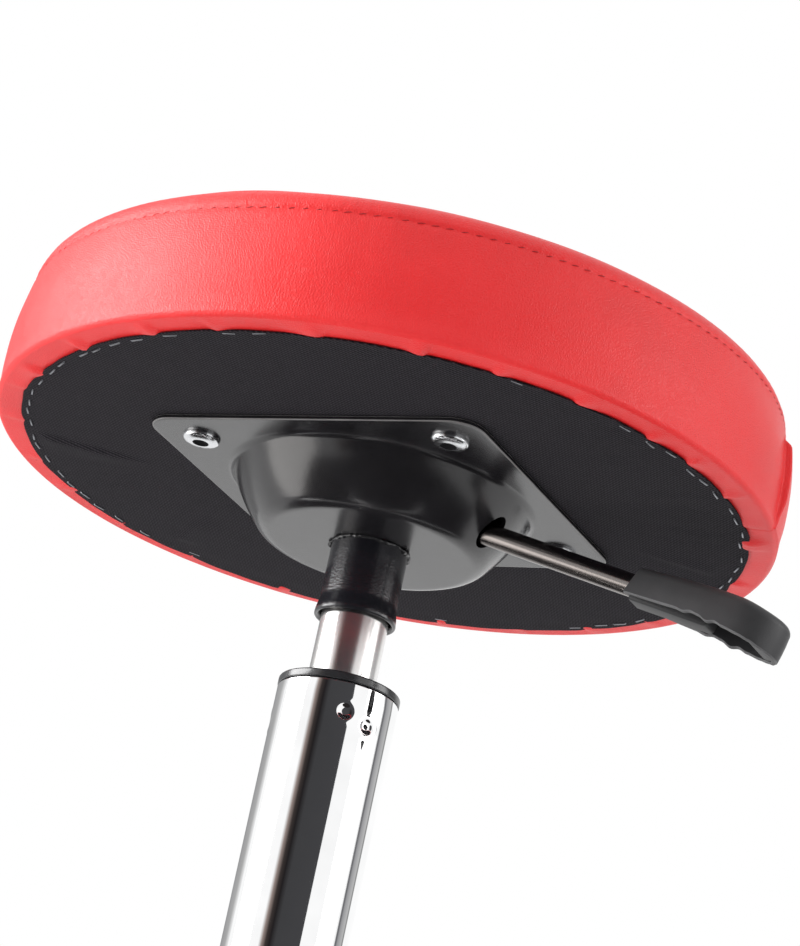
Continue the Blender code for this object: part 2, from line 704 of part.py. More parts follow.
def grip_outline(inset):
    """The grip's plan: narrow at the rod, wider outwards, with a round end."""
    half_root = GRIP_ROOT_WIDTH / 2
    half = GRIP_WIDTH / 2
    straight = GRIP_LENGTH - half
    side = []
    for i in range(7):
        share = i / 6
        ease = share * share * (3 - 2 * share)
        x = inset + (straight - inset) * share
        side.append((x, half_root + (half - half_root) * ease - inset))
    end = arc((straight, 0), half - inset, 90, -90, 11)
    return [(x, -y) for x, y in side[:-1]] + end[::-1] + side[:-1][::-1]


def lever_grip():
    """A hollow paddle, open below, with a sleeve for the rod under its roof."""
    frame = empty("grip_frame", GRIP_ROOT, tilt=LEVER_DROOP)
    mesh = slab_mesh("lever_grip", grip_outline(0), -GRIP_DROP, GRIP_RISE)
    grip = part("lever_grip", mesh, "black_plastic", parent=frame)
    hollow = slab_mesh("grip_hollow", grip_outline(GRIP_WALL), -2 * GRIP_DROP, GRIP_RISE - GRIP_WALL)
    boolean(grip, helper("grip_hollow", hollow, frame))
    bore = LEVER_RADIUS + GAP
    sleeve_end = GRIP_SLEEVE_LENGTH + GRIP_WALL
    sleeve = cylinder_mesh("grip_sleeve", bore + GRIP_SLEEVE_WALL, GRIP_WALL / 2, sleeve_end, COARSE, "X")
    boolean(grip, helper("grip_sleeve", sleeve, frame), "UNION")
    hole = cylinder_mesh("grip_bore", bore, -GRIP_WALL, GRIP_SLEEVE_LENGTH, COARSE, "X")
    boolean(grip, helper("grip_bore", hole, frame))


# Five-leg base and casters


def base():
    lip = HUB_BORE - HUB_LIP_WIDTH
    hub = [
        (HUB_RADIUS, HUB_TOP),
        (HUB_RADIUS, HUB_BOTTOM),
        (lip, HUB_BOTTOM),
        (lip, HUB_BOTTOM + HUB_LIP),
        (HUB_BORE, HUB_BOTTOM + HUB_LIP),
        (HUB_BORE, HUB_TOP),
    ]
    turned("base_hub", hub, "chrome", MEDIUM)

    root, tip = HUB_BORE, LEG_REACH + LEG_OVERHANG
    arm = helper("leg_arm", box_mesh("leg_arm", (root, -1, -1), (tip, 1, 1)))
    for vertex in arm.data.vertices:
        at_root = vertex.co.x < LEG_REACH / 2
        half_width = (LEG_ROOT_WIDTH if at_root else LEG_TIP_WIDTH) / 2
        low, high = (LEG_ROOT_BOTTOM, LEG_ROOT_TOP) if at_root else (LEG_TIP_BOTTOM, LEG_TIP_TOP)
        vertex.co.y *= half_width
        vertex.co.z = high if vertex.co.z > 0 else low
    edges = arm.modifiers.new("edges", "BEVEL")
    edges.width = LEG_EDGE
    edges.segments = 2
    hub_space = helper("hub_space", cylinder_mesh("hub_space", HUB_RADIUS + GAP, 0, HUB_TOP + HUB_MARGIN, MEDIUM))
    boolean(arm, hub_space)
    socket = cylinder_mesh("stem_socket", STEM_RADIUS + GAP, 0, LEG_TIP_BOTTOM + STEM_DEPTH - LEG_EDGE, TINY)
    stem_socket = helper("stem_socket", socket)
    stem_socket.location.x = LEG_REACH
    boolean(arm, stem_socket)
    leg_mesh = baked(arm)
    leg_mesh.name = "base_leg"
    remove_helpers(arm, hub_space, stem_socket)
    return leg_mesh


def caster_housing_mesh():
    """The caster's body and fender, with the stem's axis at the origin and the axle behind it along -X."""
    body_half = CASTER_BODY_WIDTH / 2
    fender_half = body_half + WHEEL_SIDE_GAP + WHEEL_WIDTH - FENDER_MARGIN
    axle = (-CASTER_TRAIL, AXLE_Z)
    drop = AXLE_Z - CASTER_BODY_DROP
    body_radius = (FENDER_INNER + FENDER_OUTER) / 2
    body_outline = arc(axle, body_radius, 10, 170, 9)
    body_outline += [(axle[0] - CASTER_BODY_DROP, drop), (axle[0] + CASTER_BODY_DROP, drop)]
    fender_outline = arc(axle, FENDER_OUTER, 0, 180, 11) + arc(axle, FENDER_INNER, 180, 0, 11)
    upright = Matrix.Rotation(math.pi / 2, 4, "X")
    shapes = []
    for name, outline, half in (("body", body_outline, body_half), ("fender", fender_outline, fender_half)):
        mesh = slab_mesh(f"caster_{name}", outline, -half, half)
        mesh.transform(upright)
        shapes.append(helper(f"caster_{name}", mesh))
    housing, fender = shapes
    boolean(housing, fender, "UNION")
    boss_mesh = cylinder_mesh("stem_boss", STEM_BOSS_RADIUS, HOUSING_TOP - STEM_DEPTH - FENDER_WALL, HOUSING_TOP, COARSE)
    boss = helper("stem_boss", boss_mesh)
    boolean(housing, boss, "UNION")
    well_mesh = cylinder_mesh("stem_well", STEM_RADIUS + GAP, HOUSING_TOP - STEM_DEPTH, HOUSING_TOP + GAP, TINY)
    well = helper("stem_well", well_mesh)
    boolean(housing, well)
    reach = CASTER_BODY_WIDTH
    hole = helper("axle_hole", cylinder_mesh("axle_hole", AXLE_RADIUS + GAP, -reach, reach, TINY, "Y"))
    hole.location = (-CASTER_TRAIL, 0, AXLE_Z)
    boolean(housing, hole)
    made = baked(housing)
    made.name = "caster_housing"
    remove_helpers(housing, fender, boss, well, hole)
    return made


def wheel_meshes():
    """The axle, and the left and right wheels, about an axle along Y through the origin."""
    inner = CASTER_BODY_WIDTH / 2 + WHEEL_SIDE_GAP
    outer = inner + WHEEL_WIDTH
    bore = AXLE_RADIUS + GAP
    rim = WHEEL_RADIUS - WHEEL_EDGE
    profile = [
        (bore, outer - WHEEL_DISH),
        (rim - WHEEL_EDGE, outer - WHEEL_DISH),
        (rim, outer),
        (WHEEL_RADIUS, outer - WHEEL_EDGE),
        (WHEEL_RADIUS, inner + WHEEL_EDGE),
        (rim, inner),
        (bore, inner),
    ]
    wheels = []
    for side, angle in (("left", -math.pi / 2), ("right", math.pi / 2)):
        mesh = turned_mesh(f"caster_wheel_{side}", profile, WHEEL_STEPS)
        mesh.transform(Matrix.Rotation(angle, 4, "X"))
        wheels.append(mesh)
    half_axle = outer - WHEEL_DISH
    return cylinder_mesh("caster_axle", AXLE_RADIUS, -half_axle, half_axle, TINY, "Y"), *wheels


def stem_mesh():
    collar_bottom = HOUSING_TOP + GAP
    collar_top = collar_bottom + STEM_COLLAR_HEIGHT
    top = collar_top + GAP + STEM_DEPTH - LEG_EDGE - GAP
    bottom = HOUSING_TOP - STEM_DEPTH + GAP
    profile = [
        (0, top),
        (STEM_RADIUS, top),
        (STEM_RADIUS, collar_top),
        (STEM_COLLAR_RADIUS, collar_top),
        (STEM_COLLAR_RADIUS, collar_bottom),
        (STEM_RADIUS, collar_bottom),
        (STEM_RADIUS, bottom),
        (0, bottom),
    ]
    return turned_mesh("caster_stem", profile, TINY)


def legs_and_casters():
    """Five legs, each with a caster that trails towards +Y, as after a roll towards -Y."""
    leg_mesh = base()
    housing_mesh = caster_housing_mesh()
    axle_mesh, left_mesh, right_mesh = wheel_meshes()
    stem = stem_mesh()
    for i in range(LEG_COUNT):
        angle = -math.pi / 2 + i * 2 * math.pi / LEG_COUNT
        part(f"base_leg_{i + 1}", leg_mesh, "chrome", turn=angle)
        place = Vector((math.cos(angle), math.sin(angle), 0)) * LEG_REACH
        part(f"caster_stem_{i + 1}", stem, "bare_steel", place)
        swivel = empty(f"caster_swivel_{i + 1}", place, turn=-math.pi / 2)
        part(f"caster_housing_{i + 1}", housing_mesh, "black_plastic", parent=swivel)
        at_axle = (-CASTER_TRAIL, 0, AXLE_Z)
        part(f"caster_axle_{i + 1}", axle_mesh, "bare_steel", at_axle, parent=swivel)
        part(f"caster_wheel_left_{i + 1}", left_mesh, "black_plastic", at_axle, parent=swivel)
        part(f"caster_wheel_right_{i + 1}", right_mesh, "black_plastic", at_axle, parent=swivel)


def build():
    board, dust_cover = seat_pieces()
    plate = mounting_plate()
    lever_slot(plate)
    screws(plate, dust_cover, board)
    socket_tube()
    gas_spring()
    column()
    lever_rod()
    lever_bracket()
    lever_grip()
    legs_and_casters()


build()
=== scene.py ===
from math import asin, atan2, copysign, cos, degrees, exp, hypot, pi, radians, sin, sqrt, tan

import bmesh
import bpy
import numpy as np
from mathutils import Matrix, Vector


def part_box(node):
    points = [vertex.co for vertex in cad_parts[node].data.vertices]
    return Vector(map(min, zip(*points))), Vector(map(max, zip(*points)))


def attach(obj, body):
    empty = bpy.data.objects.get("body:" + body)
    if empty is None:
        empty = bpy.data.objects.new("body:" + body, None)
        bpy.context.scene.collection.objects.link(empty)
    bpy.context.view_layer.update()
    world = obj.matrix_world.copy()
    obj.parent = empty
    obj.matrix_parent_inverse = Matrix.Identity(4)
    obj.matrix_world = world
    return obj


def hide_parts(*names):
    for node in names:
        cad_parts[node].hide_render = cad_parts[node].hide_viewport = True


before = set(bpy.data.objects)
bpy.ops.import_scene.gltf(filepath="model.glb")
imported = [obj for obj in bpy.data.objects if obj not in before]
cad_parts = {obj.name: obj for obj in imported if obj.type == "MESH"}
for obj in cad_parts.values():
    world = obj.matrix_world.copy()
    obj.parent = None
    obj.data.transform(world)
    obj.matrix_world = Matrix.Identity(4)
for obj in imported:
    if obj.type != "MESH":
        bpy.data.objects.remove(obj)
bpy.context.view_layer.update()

# Clearance between parts that fit together, and the height of the seat's lower face
GAP = 0.0003
SEAT_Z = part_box("dust_cover")[0].z
SEAT, BASE, LEVER = "seat", "base", "lever"
UP = Vector((0, 0, 1))

# Camera, as the photograph was taken: from below the seat, rolled about its own axis
CAMERA_AZIMUTH = radians(29.22)
CAMERA_ELEVATION = radians(-20.56)
CAMERA_ROLL = 0.2132
CAMERA_DISTANCE = 1.7373
CAMERA_LENS = 159.83
CAMERA_SENSOR = 36
CAMERA_SHIFT = (0.0180, 0.01815)
TO_CAMERA = CAMERA_AZIMUTH - pi / 2
# The seat's near and far side in the photograph
NEAR_SIDE, FAR_SIDE = radians(-60.8), radians(119.2)


def loose(name, data):
    """A new object in the scene."""
    obj = bpy.data.objects.new(name, data)
    bpy.context.scene.collection.objects.link(obj)
    return obj


def heading(azimuth, elevation):
    """The direction at an azimuth and an elevation."""
    return Vector((cos(azimuth) * cos(elevation), sin(azimuth) * cos(elevation), sin(elevation)))


def make_camera():
    back = heading(TO_CAMERA, CAMERA_ELEVATION)
    level = Vector((cos(CAMERA_AZIMUTH), sin(CAMERA_AZIMUTH), 0))
    upright = back.cross(level)
    right = level * cos(CAMERA_ROLL) + upright * sin(CAMERA_ROLL)
    up = upright * cos(CAMERA_ROLL) - level * sin(CAMERA_ROLL)
    data = bpy.data.cameras.new("camera")
    data.lens = CAMERA_LENS
    data.sensor_width = CAMERA_SENSOR
    data.shift_x, data.shift_y = CAMERA_SHIFT
    data.clip_start = 0.01
    camera = loose("camera", data)
    turn = Matrix((right, up, back)).transposed().to_4x4()
    camera.matrix_world = Matrix.Translation(UP * SEAT_Z + back * CAMERA_DISTANCE) @ turn
    bpy.context.scene.camera = camera


make_camera()


# Materials


class Tree:
    """A node tree, with short calls that add nodes and fill their inputs."""

    def __init__(self, holder):
        holder.use_nodes = True
        self.tree = holder.node_tree

    def put(self, socket, value):
        """Links a node's output to a socket, or sets a plain value on it."""
        if isinstance(value, bpy.types.NodeSocket):
            self.tree.links.new(value, socket)
        else:
            socket.default_value = value

    def add(self, kind, inputs=None, **settings):
        node = self.tree.nodes.new(kind)
        for key, value in settings.items():
            setattr(node, key, value)
        for key, value in (inputs or {}).items():
            self.put(node.inputs[key], value)
        return node

    def math(self, operation, first, second):
        return self.add("ShaderNodeMath", {0: first, 1: second}, operation=operation).outputs["Value"]


class Nodes(Tree):
    """A material's node tree, with the textures that this scene uses."""

    def __init__(self, name):
        self.material = bpy.data.materials.new(name)
        super().__init__(self.material)
        self.shader = self.tree.nodes["Principled BSDF"]
        self.place = self.add("ShaderNodeTexCoord").outputs["Object"]

    def set(self, **values):
        """Puts values on the shader's sockets."""
        for key, value in values.items():
            self.put(self.shader.inputs[key.replace("_", " ")], value)

    def stretched(self, scale, turn=(0, 0, 0)):
        inputs = {"Vector": self.place, "Scale": scale, "Rotation": turn}
        return self.add("ShaderNodeMapping", inputs).outputs["Vector"]

    def noise(self, scale, detail=3, roughness=0.5, vector=None, output="Fac"):
        inputs = {"Vector": vector or self.place, "Scale": scale, "Detail": detail, "Roughness": roughness}
        return self.add("ShaderNodeTexNoise", inputs).outputs[output]

    def cells(self, scale, feature="DISTANCE_TO_EDGE", vector=None):
        inputs = {"Vector": vector or self.place, "Scale": scale}
        return self.add("ShaderNodeTexVoronoi", inputs, feature=feature).outputs["Distance"]

    def wave(self, scale, vector=None, distortion=0.0, direction="X"):
        inputs = {"Vector": vector or self.place, "Scale": scale, "Distortion": distortion}
        return self.add("ShaderNodeTexWave", inputs, bands_direction=direction).outputs["Fac"]

    def ramp(self, value, stops):
        """Maps a value to colours at the given stops."""
        node = self.add("ShaderNodeValToRGB", {"Fac": value})
        points = node.color_ramp.elements
        while len(points) < len(stops):
            points.new(0.5)
        for point, (at, colour) in zip(points, stops):
            point.position = at
            point.color = (*colour, 1)
        return node.outputs["Color"]

    def shades(self, value, colour, *stops):
        """A colour made darker or lighter by the factor at each stop."""
        tints = [(at, [min(1.0, part * factor) for part in colour]) for at, factor in stops]
        return self.ramp(value, tints)

    def span(self, value, low, high, from_low=0.0, from_high=1.0):
        inputs = {"Value": value, "From Min": from_low, "From Max": from_high}
        inputs.update({"To Min": low, "To Max": high})
        return self.add("ShaderNodeMapRange", inputs).outputs["Result"]

    def sum(self, first, second, share=1.0):
        """The first value plus a share of the second."""
        return self.math("ADD", first, self.math("MULTIPLY", second, share) if share != 1 else second)

    def bump(self, height, distance, strength=1.0):
        inputs = {"Strength": strength, "Distance": distance, "Height": height}
        self.set(Normal=self.add("ShaderNodeBump", inputs).outputs["Normal"])


def leatherette():
    m = Nodes("leatherette")
    dark, red, light = (0.756, 0.0153, 0.0171), (0.84, 0.017, 0.019), (0.88, 0.024, 0.027)
    patches = m.noise(18, 4)
    # The pebbled grain is warped by a finer noise, so that its cells aren't straight-edged
    warp = m.noise(220, 2, output="Color")
    small = m.add("ShaderNodeVectorMath", {0: warp, "Scale": 0.0012}, operation="SCALE").outputs["Vector"]
    warped = m.add("ShaderNodeVectorMath", {0: m.place, 1: small}, operation="ADD").outputs["Vector"]
    pebble = m.span(m.cells(900, vector=warped), 0, 1, 0.0, 0.28)
    m.bump(m.sum(pebble, m.noise(1900, 2), 0.35), 0.00014, 0.7)
    m.set(
        Base_Color=m.ramp(patches, [(0.3, dark), (0.5, red), (0.72, light)]),
        Roughness=m.span(patches, 0.36, 0.47),
        Specular_IOR_Level=0.5,
        Sheen_Weight=0.03,
        Sheen_Roughness=0.4,
    )
    return m.material


def thread():
    m = Nodes("thread")
    twist = m.wave(900, m.stretched((1, 1, 1), (0.3, 0.4, 0.8)))
    m.bump(twist, 0.0001)
    stops = [(0.0, (0.26, 0.008, 0.012)), (1.0, (0.42, 0.014, 0.018))]
    m.set(Base_Color=m.ramp(twist, stops), Roughness=0.65)
    return m.material


def dust_fabric():
    m = Nodes("dust_fabric")
    twill = m.wave(190, m.stretched((1, 1, 0), (0, 0, radians(38))))
    cross = m.wave(240, m.stretched((1, 1, 0), (0, 0, radians(-20))))
    cloth = m.sum(twill, cross, 0.3)
    lint = m.span(m.sum(cloth, m.noise(900, 3), 0.6), 0, 1, 0.2, 1.8)
    stops = [(0.0, (0.005, 0.005, 0.007)), (0.6, (0.013, 0.011, 0.015)), (1.0, (0.054, 0.046, 0.058))]
    m.bump(cloth, 0.00025, 0.8)
    m.set(Base_Color=m.ramp(lint, stops), Roughness=0.92, Sheen_Weight=0.03, Specular_IOR_Level=0.15)
    return m.material


def paint(name, colour, roughness, peel=0.00004, peel_scale=420):
    """Gloss enamel with a faint orange peel."""
    m = Nodes(name)
    m.bump(m.noise(peel_scale, 2), peel, 0.6)
    m.set(
        Base_Color=m.shades(m.noise(60, 5, 0.6), colour, (0.35, 0.85), (0.75, 1.35)),
        Roughness=m.span(m.noise(130, 4, 0.6), roughness * 0.8, roughness * 1.35),
        Coat_Weight=0.35,
        Coat_Roughness=0.17,
    )
    return m.material


def metal(name, colour, roughness, lines=(1, 1, 60), depth=0.00001, scale=260):
    """A metal with fine lines that run round or along it, and slightly uneven polish."""
    m = Nodes(name)
    drawn = m.noise(scale, 4, 0.65, m.stretched(lines))
    m.bump(drawn, depth, 0.5)
    m.set(
        Base_Color=m.shades(m.noise(45, 3), colour, (0.3, 0.94), (0.7, 1.03)),
        Roughness=m.span(drawn, roughness * 0.7, roughness * 1.4),
        Metallic=1.0,
    )
    return m.material


def plastic(name, colour, roughness, grain=1400, depth=0.00006, specular=0.4):
    m = Nodes(name)
    speckle = m.noise(grain, 3, 0.6)
    m.bump(speckle, depth, 0.6)
    m.set(
        Base_Color=m.shades(m.noise(70, 4), colour, (0.3, 0.85), (0.7, 1.2)),
        Roughness=m.span(speckle, roughness * 0.85, roughness * 1.2),
        Specular_IOR_Level=specular,
    )
    return m.material


def foam_material():
    m = Nodes("foam")
    holes = m.cells(480, "F1")
    m.bump(holes, 0.0006)
    stops = [(0.0, (0.50, 0.44, 0.28)), (0.6, (0.85, 0.78, 0.55))]
    m.set(Base_Color=m.ramp(holes, stops), Roughness=0.95)
    return m.material


def plywood_material():
    m = Nodes("plywood")
    grain = m.wave(40, m.stretched((1, 0.06, 1)), 3.5)
    both = m.sum(m.math("MULTIPLY", grain, 0.6), m.wave(110, direction="Z"), 0.4)
    stops = [(0.0, (0.33, 0.20, 0.10)), (0.6, (0.55, 0.37, 0.20)), (1.0, (0.64, 0.47, 0.28))]
    m.bump(grain, 0.0002)
    m.set(Base_Color=m.ramp(both, stops), Roughness=0.7)
    return m.material


RED = leatherette()
THREAD = thread()
FABRIC = dust_fabric()
ENAMEL = paint("black_enamel", (0.011, 0.0105, 0.012), 0.2)
PEEL = paint("socket_enamel", (0.010, 0.010, 0.013), 0.17, 0.00016, 1200)
WELD = paint("weld_bead", (0.014, 0.014, 0.015), 0.16, 0.0004, 420)
# A lighter grey enamel for the plate's rounded edges: a painted highlight
EDGE_HIGHLIGHT = paint("painted_edge_highlight", (0.15, 0.143, 0.143), 0.3)
ZINC = metal("zinc", (0.78, 0.79, 0.81), 0.2, (1, 1, 1), 0.00002, 500)
STEEL = metal("bare_steel", (0.88, 0.87, 0.86), 0.23, (1, 1, 40))
ROD = metal("polished_rod", (0.20, 0.182, 0.174), 0.2, (1, 40, 40), 0.00001, 120)
STAPLE = metal("staple_wire", (0.38, 0.39, 0.42), 0.42, (1, 1, 1))
CHROME = metal("chrome", (0.965, 0.967, 0.97), 0.04, (1, 1, 1), 0.000004, 90)
BRASS = metal("brass", (0.72, 0.55, 0.25), 0.3)
# Near-black and nearly matte, for the faces inside the screws' cross recess: painted shade
RECESS_SHADE = plastic("screw_recess", (0.014, 0.014, 0.015), 0.7, specular=0.02)
GRIP = plastic("grip_plastic", (0.036, 0.036, 0.038), 0.46)
# A lighter grey for the grip's rim chamfers: a painted highlight
GRIP_RIM_HIGHLIGHT = plastic("painted_grip_rim_highlight", (0.110, 0.110, 0.114), 0.4)
# Near-black for the grip's inside faces: painted shade in its hollow
GRIP_INSIDE_SHADE = plastic("painted_grip_inside_shade", (0.010, 0.010, 0.012), 0.7)
BLACK = plastic("black_plastic", (0.022, 0.022, 0.024), 0.4)
RING = plastic("ring_plastic", (0.020, 0.020, 0.022), 0.2, specular=0.9)
RUBBER = plastic("rubber", (0.02, 0.02, 0.02), 0.75, 700, 0.0001)
FOAM = foam_material()
PLYWOOD = plywood_material()


# Numbers and curves


def polar(radius, angle, z=0.0):
    """The point at a radius and an angle round the column's axis."""
    return (radius * cos(angle), radius * sin(angle), z)


def turns(steps):
    """Even angles round a circle."""
    return [2 * pi * i / steps for i in range(steps)]


def turn_between(angle, centre):
    return (angle - centre + pi) % (2 * pi) - pi


def ease(low, high, value):
    """Rises smoothly from 0 to 1 as the value goes from low to high."""
    share = min(1.0, max(0.0, (value - low) / (high - low)))
    return share * share * (3 - 2 * share)


def bell(value, width):
    """1 at zero, falling smoothly to nothing at about twice the width."""
    return exp(-((value / width) ** 2))


def curve(start, middle, end, share):
    """A point on the smooth curve from start to end that heads for middle."""
    return start.lerp(middle, share).lerp(middle.lerp(end, share), share)


def wander(angle, table, drift=0.0):
    """A smooth, repeatable wobble round the seat, between about -1 and 1."""
    total = sum(weight * sin(count * angle + phase + drift * count) for count, phase, weight in table)
    return total / sum(weight for _, _, weight in table) * 1.6


def arc(centre, radius, start, end, count):
    """Points on an arc, from one angle to another, in degrees."""
    angles = [radians(start + (end - start) * i / (count - 1)) for i in range(count)]
    return [(centre[0] + radius * cos(a), centre[1] + radius * sin(a)) for a in angles]


def rounded_section(width, height, corner, per_corner=8):
    """A rounded rectangle's points, upright, about its middle."""
    points = []
    for turn, (sx, sz) in enumerate(((1, 1), (-1, 1), (-1, -1), (1, -1))):
        middle = (sx * (width / 2 - corner), sz * (height / 2 - corner))
        points += arc(middle, corner, 90 * turn, 90 * turn + 90, per_corner)
    return points


# Mesh helpers


def piece(name, mesh, material, body, stands_for=()):
    """Adds a mesh to the scene as a piece that rides on a body."""
    obj = loose(name, mesh)
    if not mesh.materials:
        mesh.materials.append(material)
    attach(obj, body)
    if stands_for:
        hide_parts(*stands_for)
    return obj


def finished(mesh, sharp=40):
    mesh.validate()
    mesh.shade_smooth()
    mesh.set_sharp_from_angle(angle=radians(sharp))
    return mesh


def cleaned(mesh, sharp, merge=1e-7, fill=False):
    """Merges double points, fills holes if asked, turns the faces outwards and smooths the mesh."""
    shape = bmesh.new()
    shape.from_mesh(mesh)
    bmesh.ops.remove_doubles(shape, verts=shape.verts, dist=merge)
    if fill:
        bmesh.ops.holes_fill(shape, edges=[edge for edge in shape.edges if edge.is_boundary], sides=0)
    bmesh.ops.recalc_face_normals(shape, faces=shape.faces)
    shape.to_mesh(mesh)
    shape.free()
    return finished(mesh, sharp)


def lofts(name, groups, closed=False, caps=False, sharp=40):
    """A smooth mesh over groups of rings of points. Each ring goes round.

    closed joins a group's last ring to its first, caps fill its ends.
    """
    points, faces = [], []
    for rings in groups:
        count, first = len(rings[0]), len(points)
        starts = [first + count * k for k in range(len(rings))]
        points += [tuple(point) for ring in rings for point in ring]
        for a, b in zip(starts, starts[1:] + starts[:1] if closed else starts[1:]):
            for i in range(count):
                j = (i + 1) % count
                faces.append((a + i, a + j, b + j, b + i))
        if caps:
            faces.append(tuple(reversed(range(first, first + count))))
            faces.append(tuple(range(starts[-1], starts[-1] + count)))
    mesh = bpy.data.meshes.new(name)
    mesh.from_pydata(points, [], faces)
    return cleaned(mesh, sharp)


def loft(name, rings, closed=False, caps=False, sharp=40):
    return lofts(name, [rings], closed, caps, sharp)


def lathe(name, profile, steps=128, sharp=40, bend=None):
    """A profile of (radius, height) turned about Z, a closed ring unless it starts on the axis.

    bend gives how far a point at an angle and a height moves outwards.
    """
    rings = [
        [polar(radius + (bend(angle, height) if bend else 0), angle, height) for angle in turns(steps)]
        for radius, height in profile
    ]
    return loft(name, rings, closed=profile[0][0] > 0, sharp=sharp)


def modified(mesh, kind, **settings):
    """A mesh as one modifier changes it."""
    obj = loose("modified", mesh)
    modifier = obj.modifiers.new(kind, kind)
    for key, value in settings.items():
        setattr(modifier, key, value)
    bpy.context.view_layer.update()
    graph = bpy.context.evaluated_depsgraph_get()
    made = bpy.data.meshes.new_from_object(obj.evaluated_get(graph))
    bpy.data.objects.remove(obj, do_unlink=True)
    return made


def cut(mesh, cutters):
    """Cuts the cutters' meshes out of a mesh."""
    for cutter in cutters:
        other = loose("cutter", cutter)
        mesh = modified(mesh, "BOOLEAN", operation="DIFFERENCE", object=other, solver="EXACT")
        bpy.data.objects.remove(other, do_unlink=True)
    return mesh


def bevelled(mesh, width, angle, slot=-1):
    """Rounds a mesh's edges that are sharper than an angle; the rounding takes the material at slot."""
    limit = {"limit_method": "ANGLE", "angle_limit": radians(angle)}
    return finished(modified(mesh, "BEVEL", width=width, segments=3, material=slot, **limit))


def joined(name, meshes):
    """Several meshes as one."""
    shape = bmesh.new()
    for mesh in meshes:
        shape.from_mesh(mesh)
    made = bpy.data.meshes.new(name)
    shape.to_mesh(made)
    shape.free()
    return finished(made)


def dressed(mesh, *materials):
    """Gives a mesh these materials alone."""
    mesh.materials.clear()
    for material in materials:
        mesh.materials.append(material)
    return mesh


def placed(mesh, matrix, name):
    copy = mesh.copy()
    copy.transform(matrix)
    copy.name = name
    return copy


def tube(name, route, radius, sides, ends):
    """A round bar along a route in the X Z plane, with its end edges rounded by ends."""
    side = Vector((0, 1, 0))
    last = len(route) - 1
    rings = []
    for k, point in enumerate(route):
        before = (point - route[k - 1]).normalized() if k else (route[1] - point).normalized()
        after = (route[k + 1] - point).normalized() if k < last else before
        along = (before + after).normalized()
        over = along.cross(side)
        stops = [(0, radius)]
        if k == 0:
            stops = [(0, radius - ends), (ends, radius)]
        elif k == last:
            stops = [(-ends, radius), (0, radius - ends)]
        for shift, size in stops:
            centre = point + along * shift
            rings.append([centre + (side * cos(a) + over * sin(a)) * size for a in turns(sides)])
    return loft(name, rings, caps=True)


# Seat cushion: one crowned form in leatherette, with a sewn shoulder, creases and a pleated underside

SEAT_RADIUS = 0.1640
SEAT_DRAW_IN = 0.004
SEAM_RADIUS = SEAT_RADIUS - SEAT_DRAW_IN
SIDE_HEIGHT = 0.049
SIDE_BOTTOM = 0.021
SHOULDER = 0.0115
CROWN = 0.0105
CROWN_FLAT = 0.020
EDGE_ROUND = 0.0024
FOLD_Z = 0.0011
FOLD_WIDTH = 0.014
COVER_RADIUS = 0.1514
COVER_THICKNESS = 0.0006
LAP_ANGLE = radians(13)
STITCHES = 176
STAPLES = 72

rng = np.random.default_rng(7)
# Pleats of the gathered underside, in degrees: those of the photographed side, then others like them
PLEAT_ANGLES = [-133, -117, -103, -90, -75, -60, -47, -35, -22, -10, 2, 13, 18, 22]
PLEAT_ANGLES += range(36, 220, 14)
# Angle, height, width and lean of each
PLEATS = [
    (
        radians(angle + rng.uniform(-2, 2)),
        rng.uniform(0.45, 1.0),
        radians(rng.uniform(0.9, 1.7)),
        rng.choice((-1, 1)),
    )
    for angle in PLEAT_ANGLES
]


def wave_table(count, slowest, fastest, weakest):
    """Waves round the seat for wander: how many fit round it, phase and weight."""
    return [
        (int(rng.integers(slowest, fastest)), rng.uniform(0, 2 * pi), rng.uniform(weakest, 1.0))
        for _ in range(count)
    ]


WAVES = wave_table(9, 3, 15, 0.4)
RIPPLES = wave_table(14, 18, 70, 0.3)


def pleat(angle):
    """Height of the pleats of the gathered underside, each steeper on the side that it leans to."""
    total = 0.0
    for centre, height, width, lean in PLEATS:
        away = turn_between(angle, centre)
        if abs(away) < 5 * width:
            total += height * bell(away, width * (0.45 if away * lean > 0 else 1.8))
    return total


def cushion_profile():
    """(radius, height) from the crown's middle to the folded edge under the rim."""
    shoulder = arc((SEAM_RADIUS - SHOULDER, SIDE_HEIGHT), SHOULDER, 81, 0, 34)
    edge_radius, edge_z = shoulder[0]
    points = []
    for i in range(34):
        radius = edge_radius * i / 34
        share = max(0.0, radius - CROWN_FLAT) / (edge_radius - CROWN_FLAT)
        points.append((radius, edge_z + CROWN * (1 - share**2)))
    points += shoulder
    for i in range(1, 24):
        share = i / 23
        bulge = SEAT_DRAW_IN * (1 - sin(share * pi / 2))
        points.append((SEAT_RADIUS - bulge, SIDE_HEIGHT + (SIDE_BOTTOM - SIDE_HEIGHT) * share))
    corner = (SEAT_RADIUS - EDGE_ROUND, FOLD_Z + EDGE_ROUND)
    points += [(SEAT_RADIUS, SIDE_BOTTOM + (corner[1] - SIDE_BOTTOM) * i / 9) for i in range(1, 9)]
    points += arc(corner, EDGE_ROUND, 0, -90, 12)
    return points + [(corner[0] - FOLD_WIDTH * i / 9, FOLD_Z) for i in range(1, 10)]


def seam_height(angle):
    """The seam was sewn a little off level, so its height drifts round the seat."""
    drift = 0.0013 * cos(angle - radians(29)) + 0.00025 * wander(angle, WAVES, 0.2)
    return SIDE_HEIGHT + 0.0011 + drift


def round_angles(steps):
    """Even angles round the seat, with more of them at the lapped end of the side band."""
    more = [LAP_ANGLE + 0.0016 * (k - 6) + 0.0003 for k in range(14)]
    return sorted(angle % (2 * pi) for angle in turns(steps) + more)


def cushion_row(angle):
    """What cushion_move needs to know about an angle, worked out once."""
    slow, other = wander(angle, WAVES), wander(angle, WAVES, 1.1)
    quick, fine = wander(angle, RIPPLES), wander(angle, RIPPLES, 0.5)
    return angle, slow, other, quick, fine, pleat(angle), seam_height(angle)


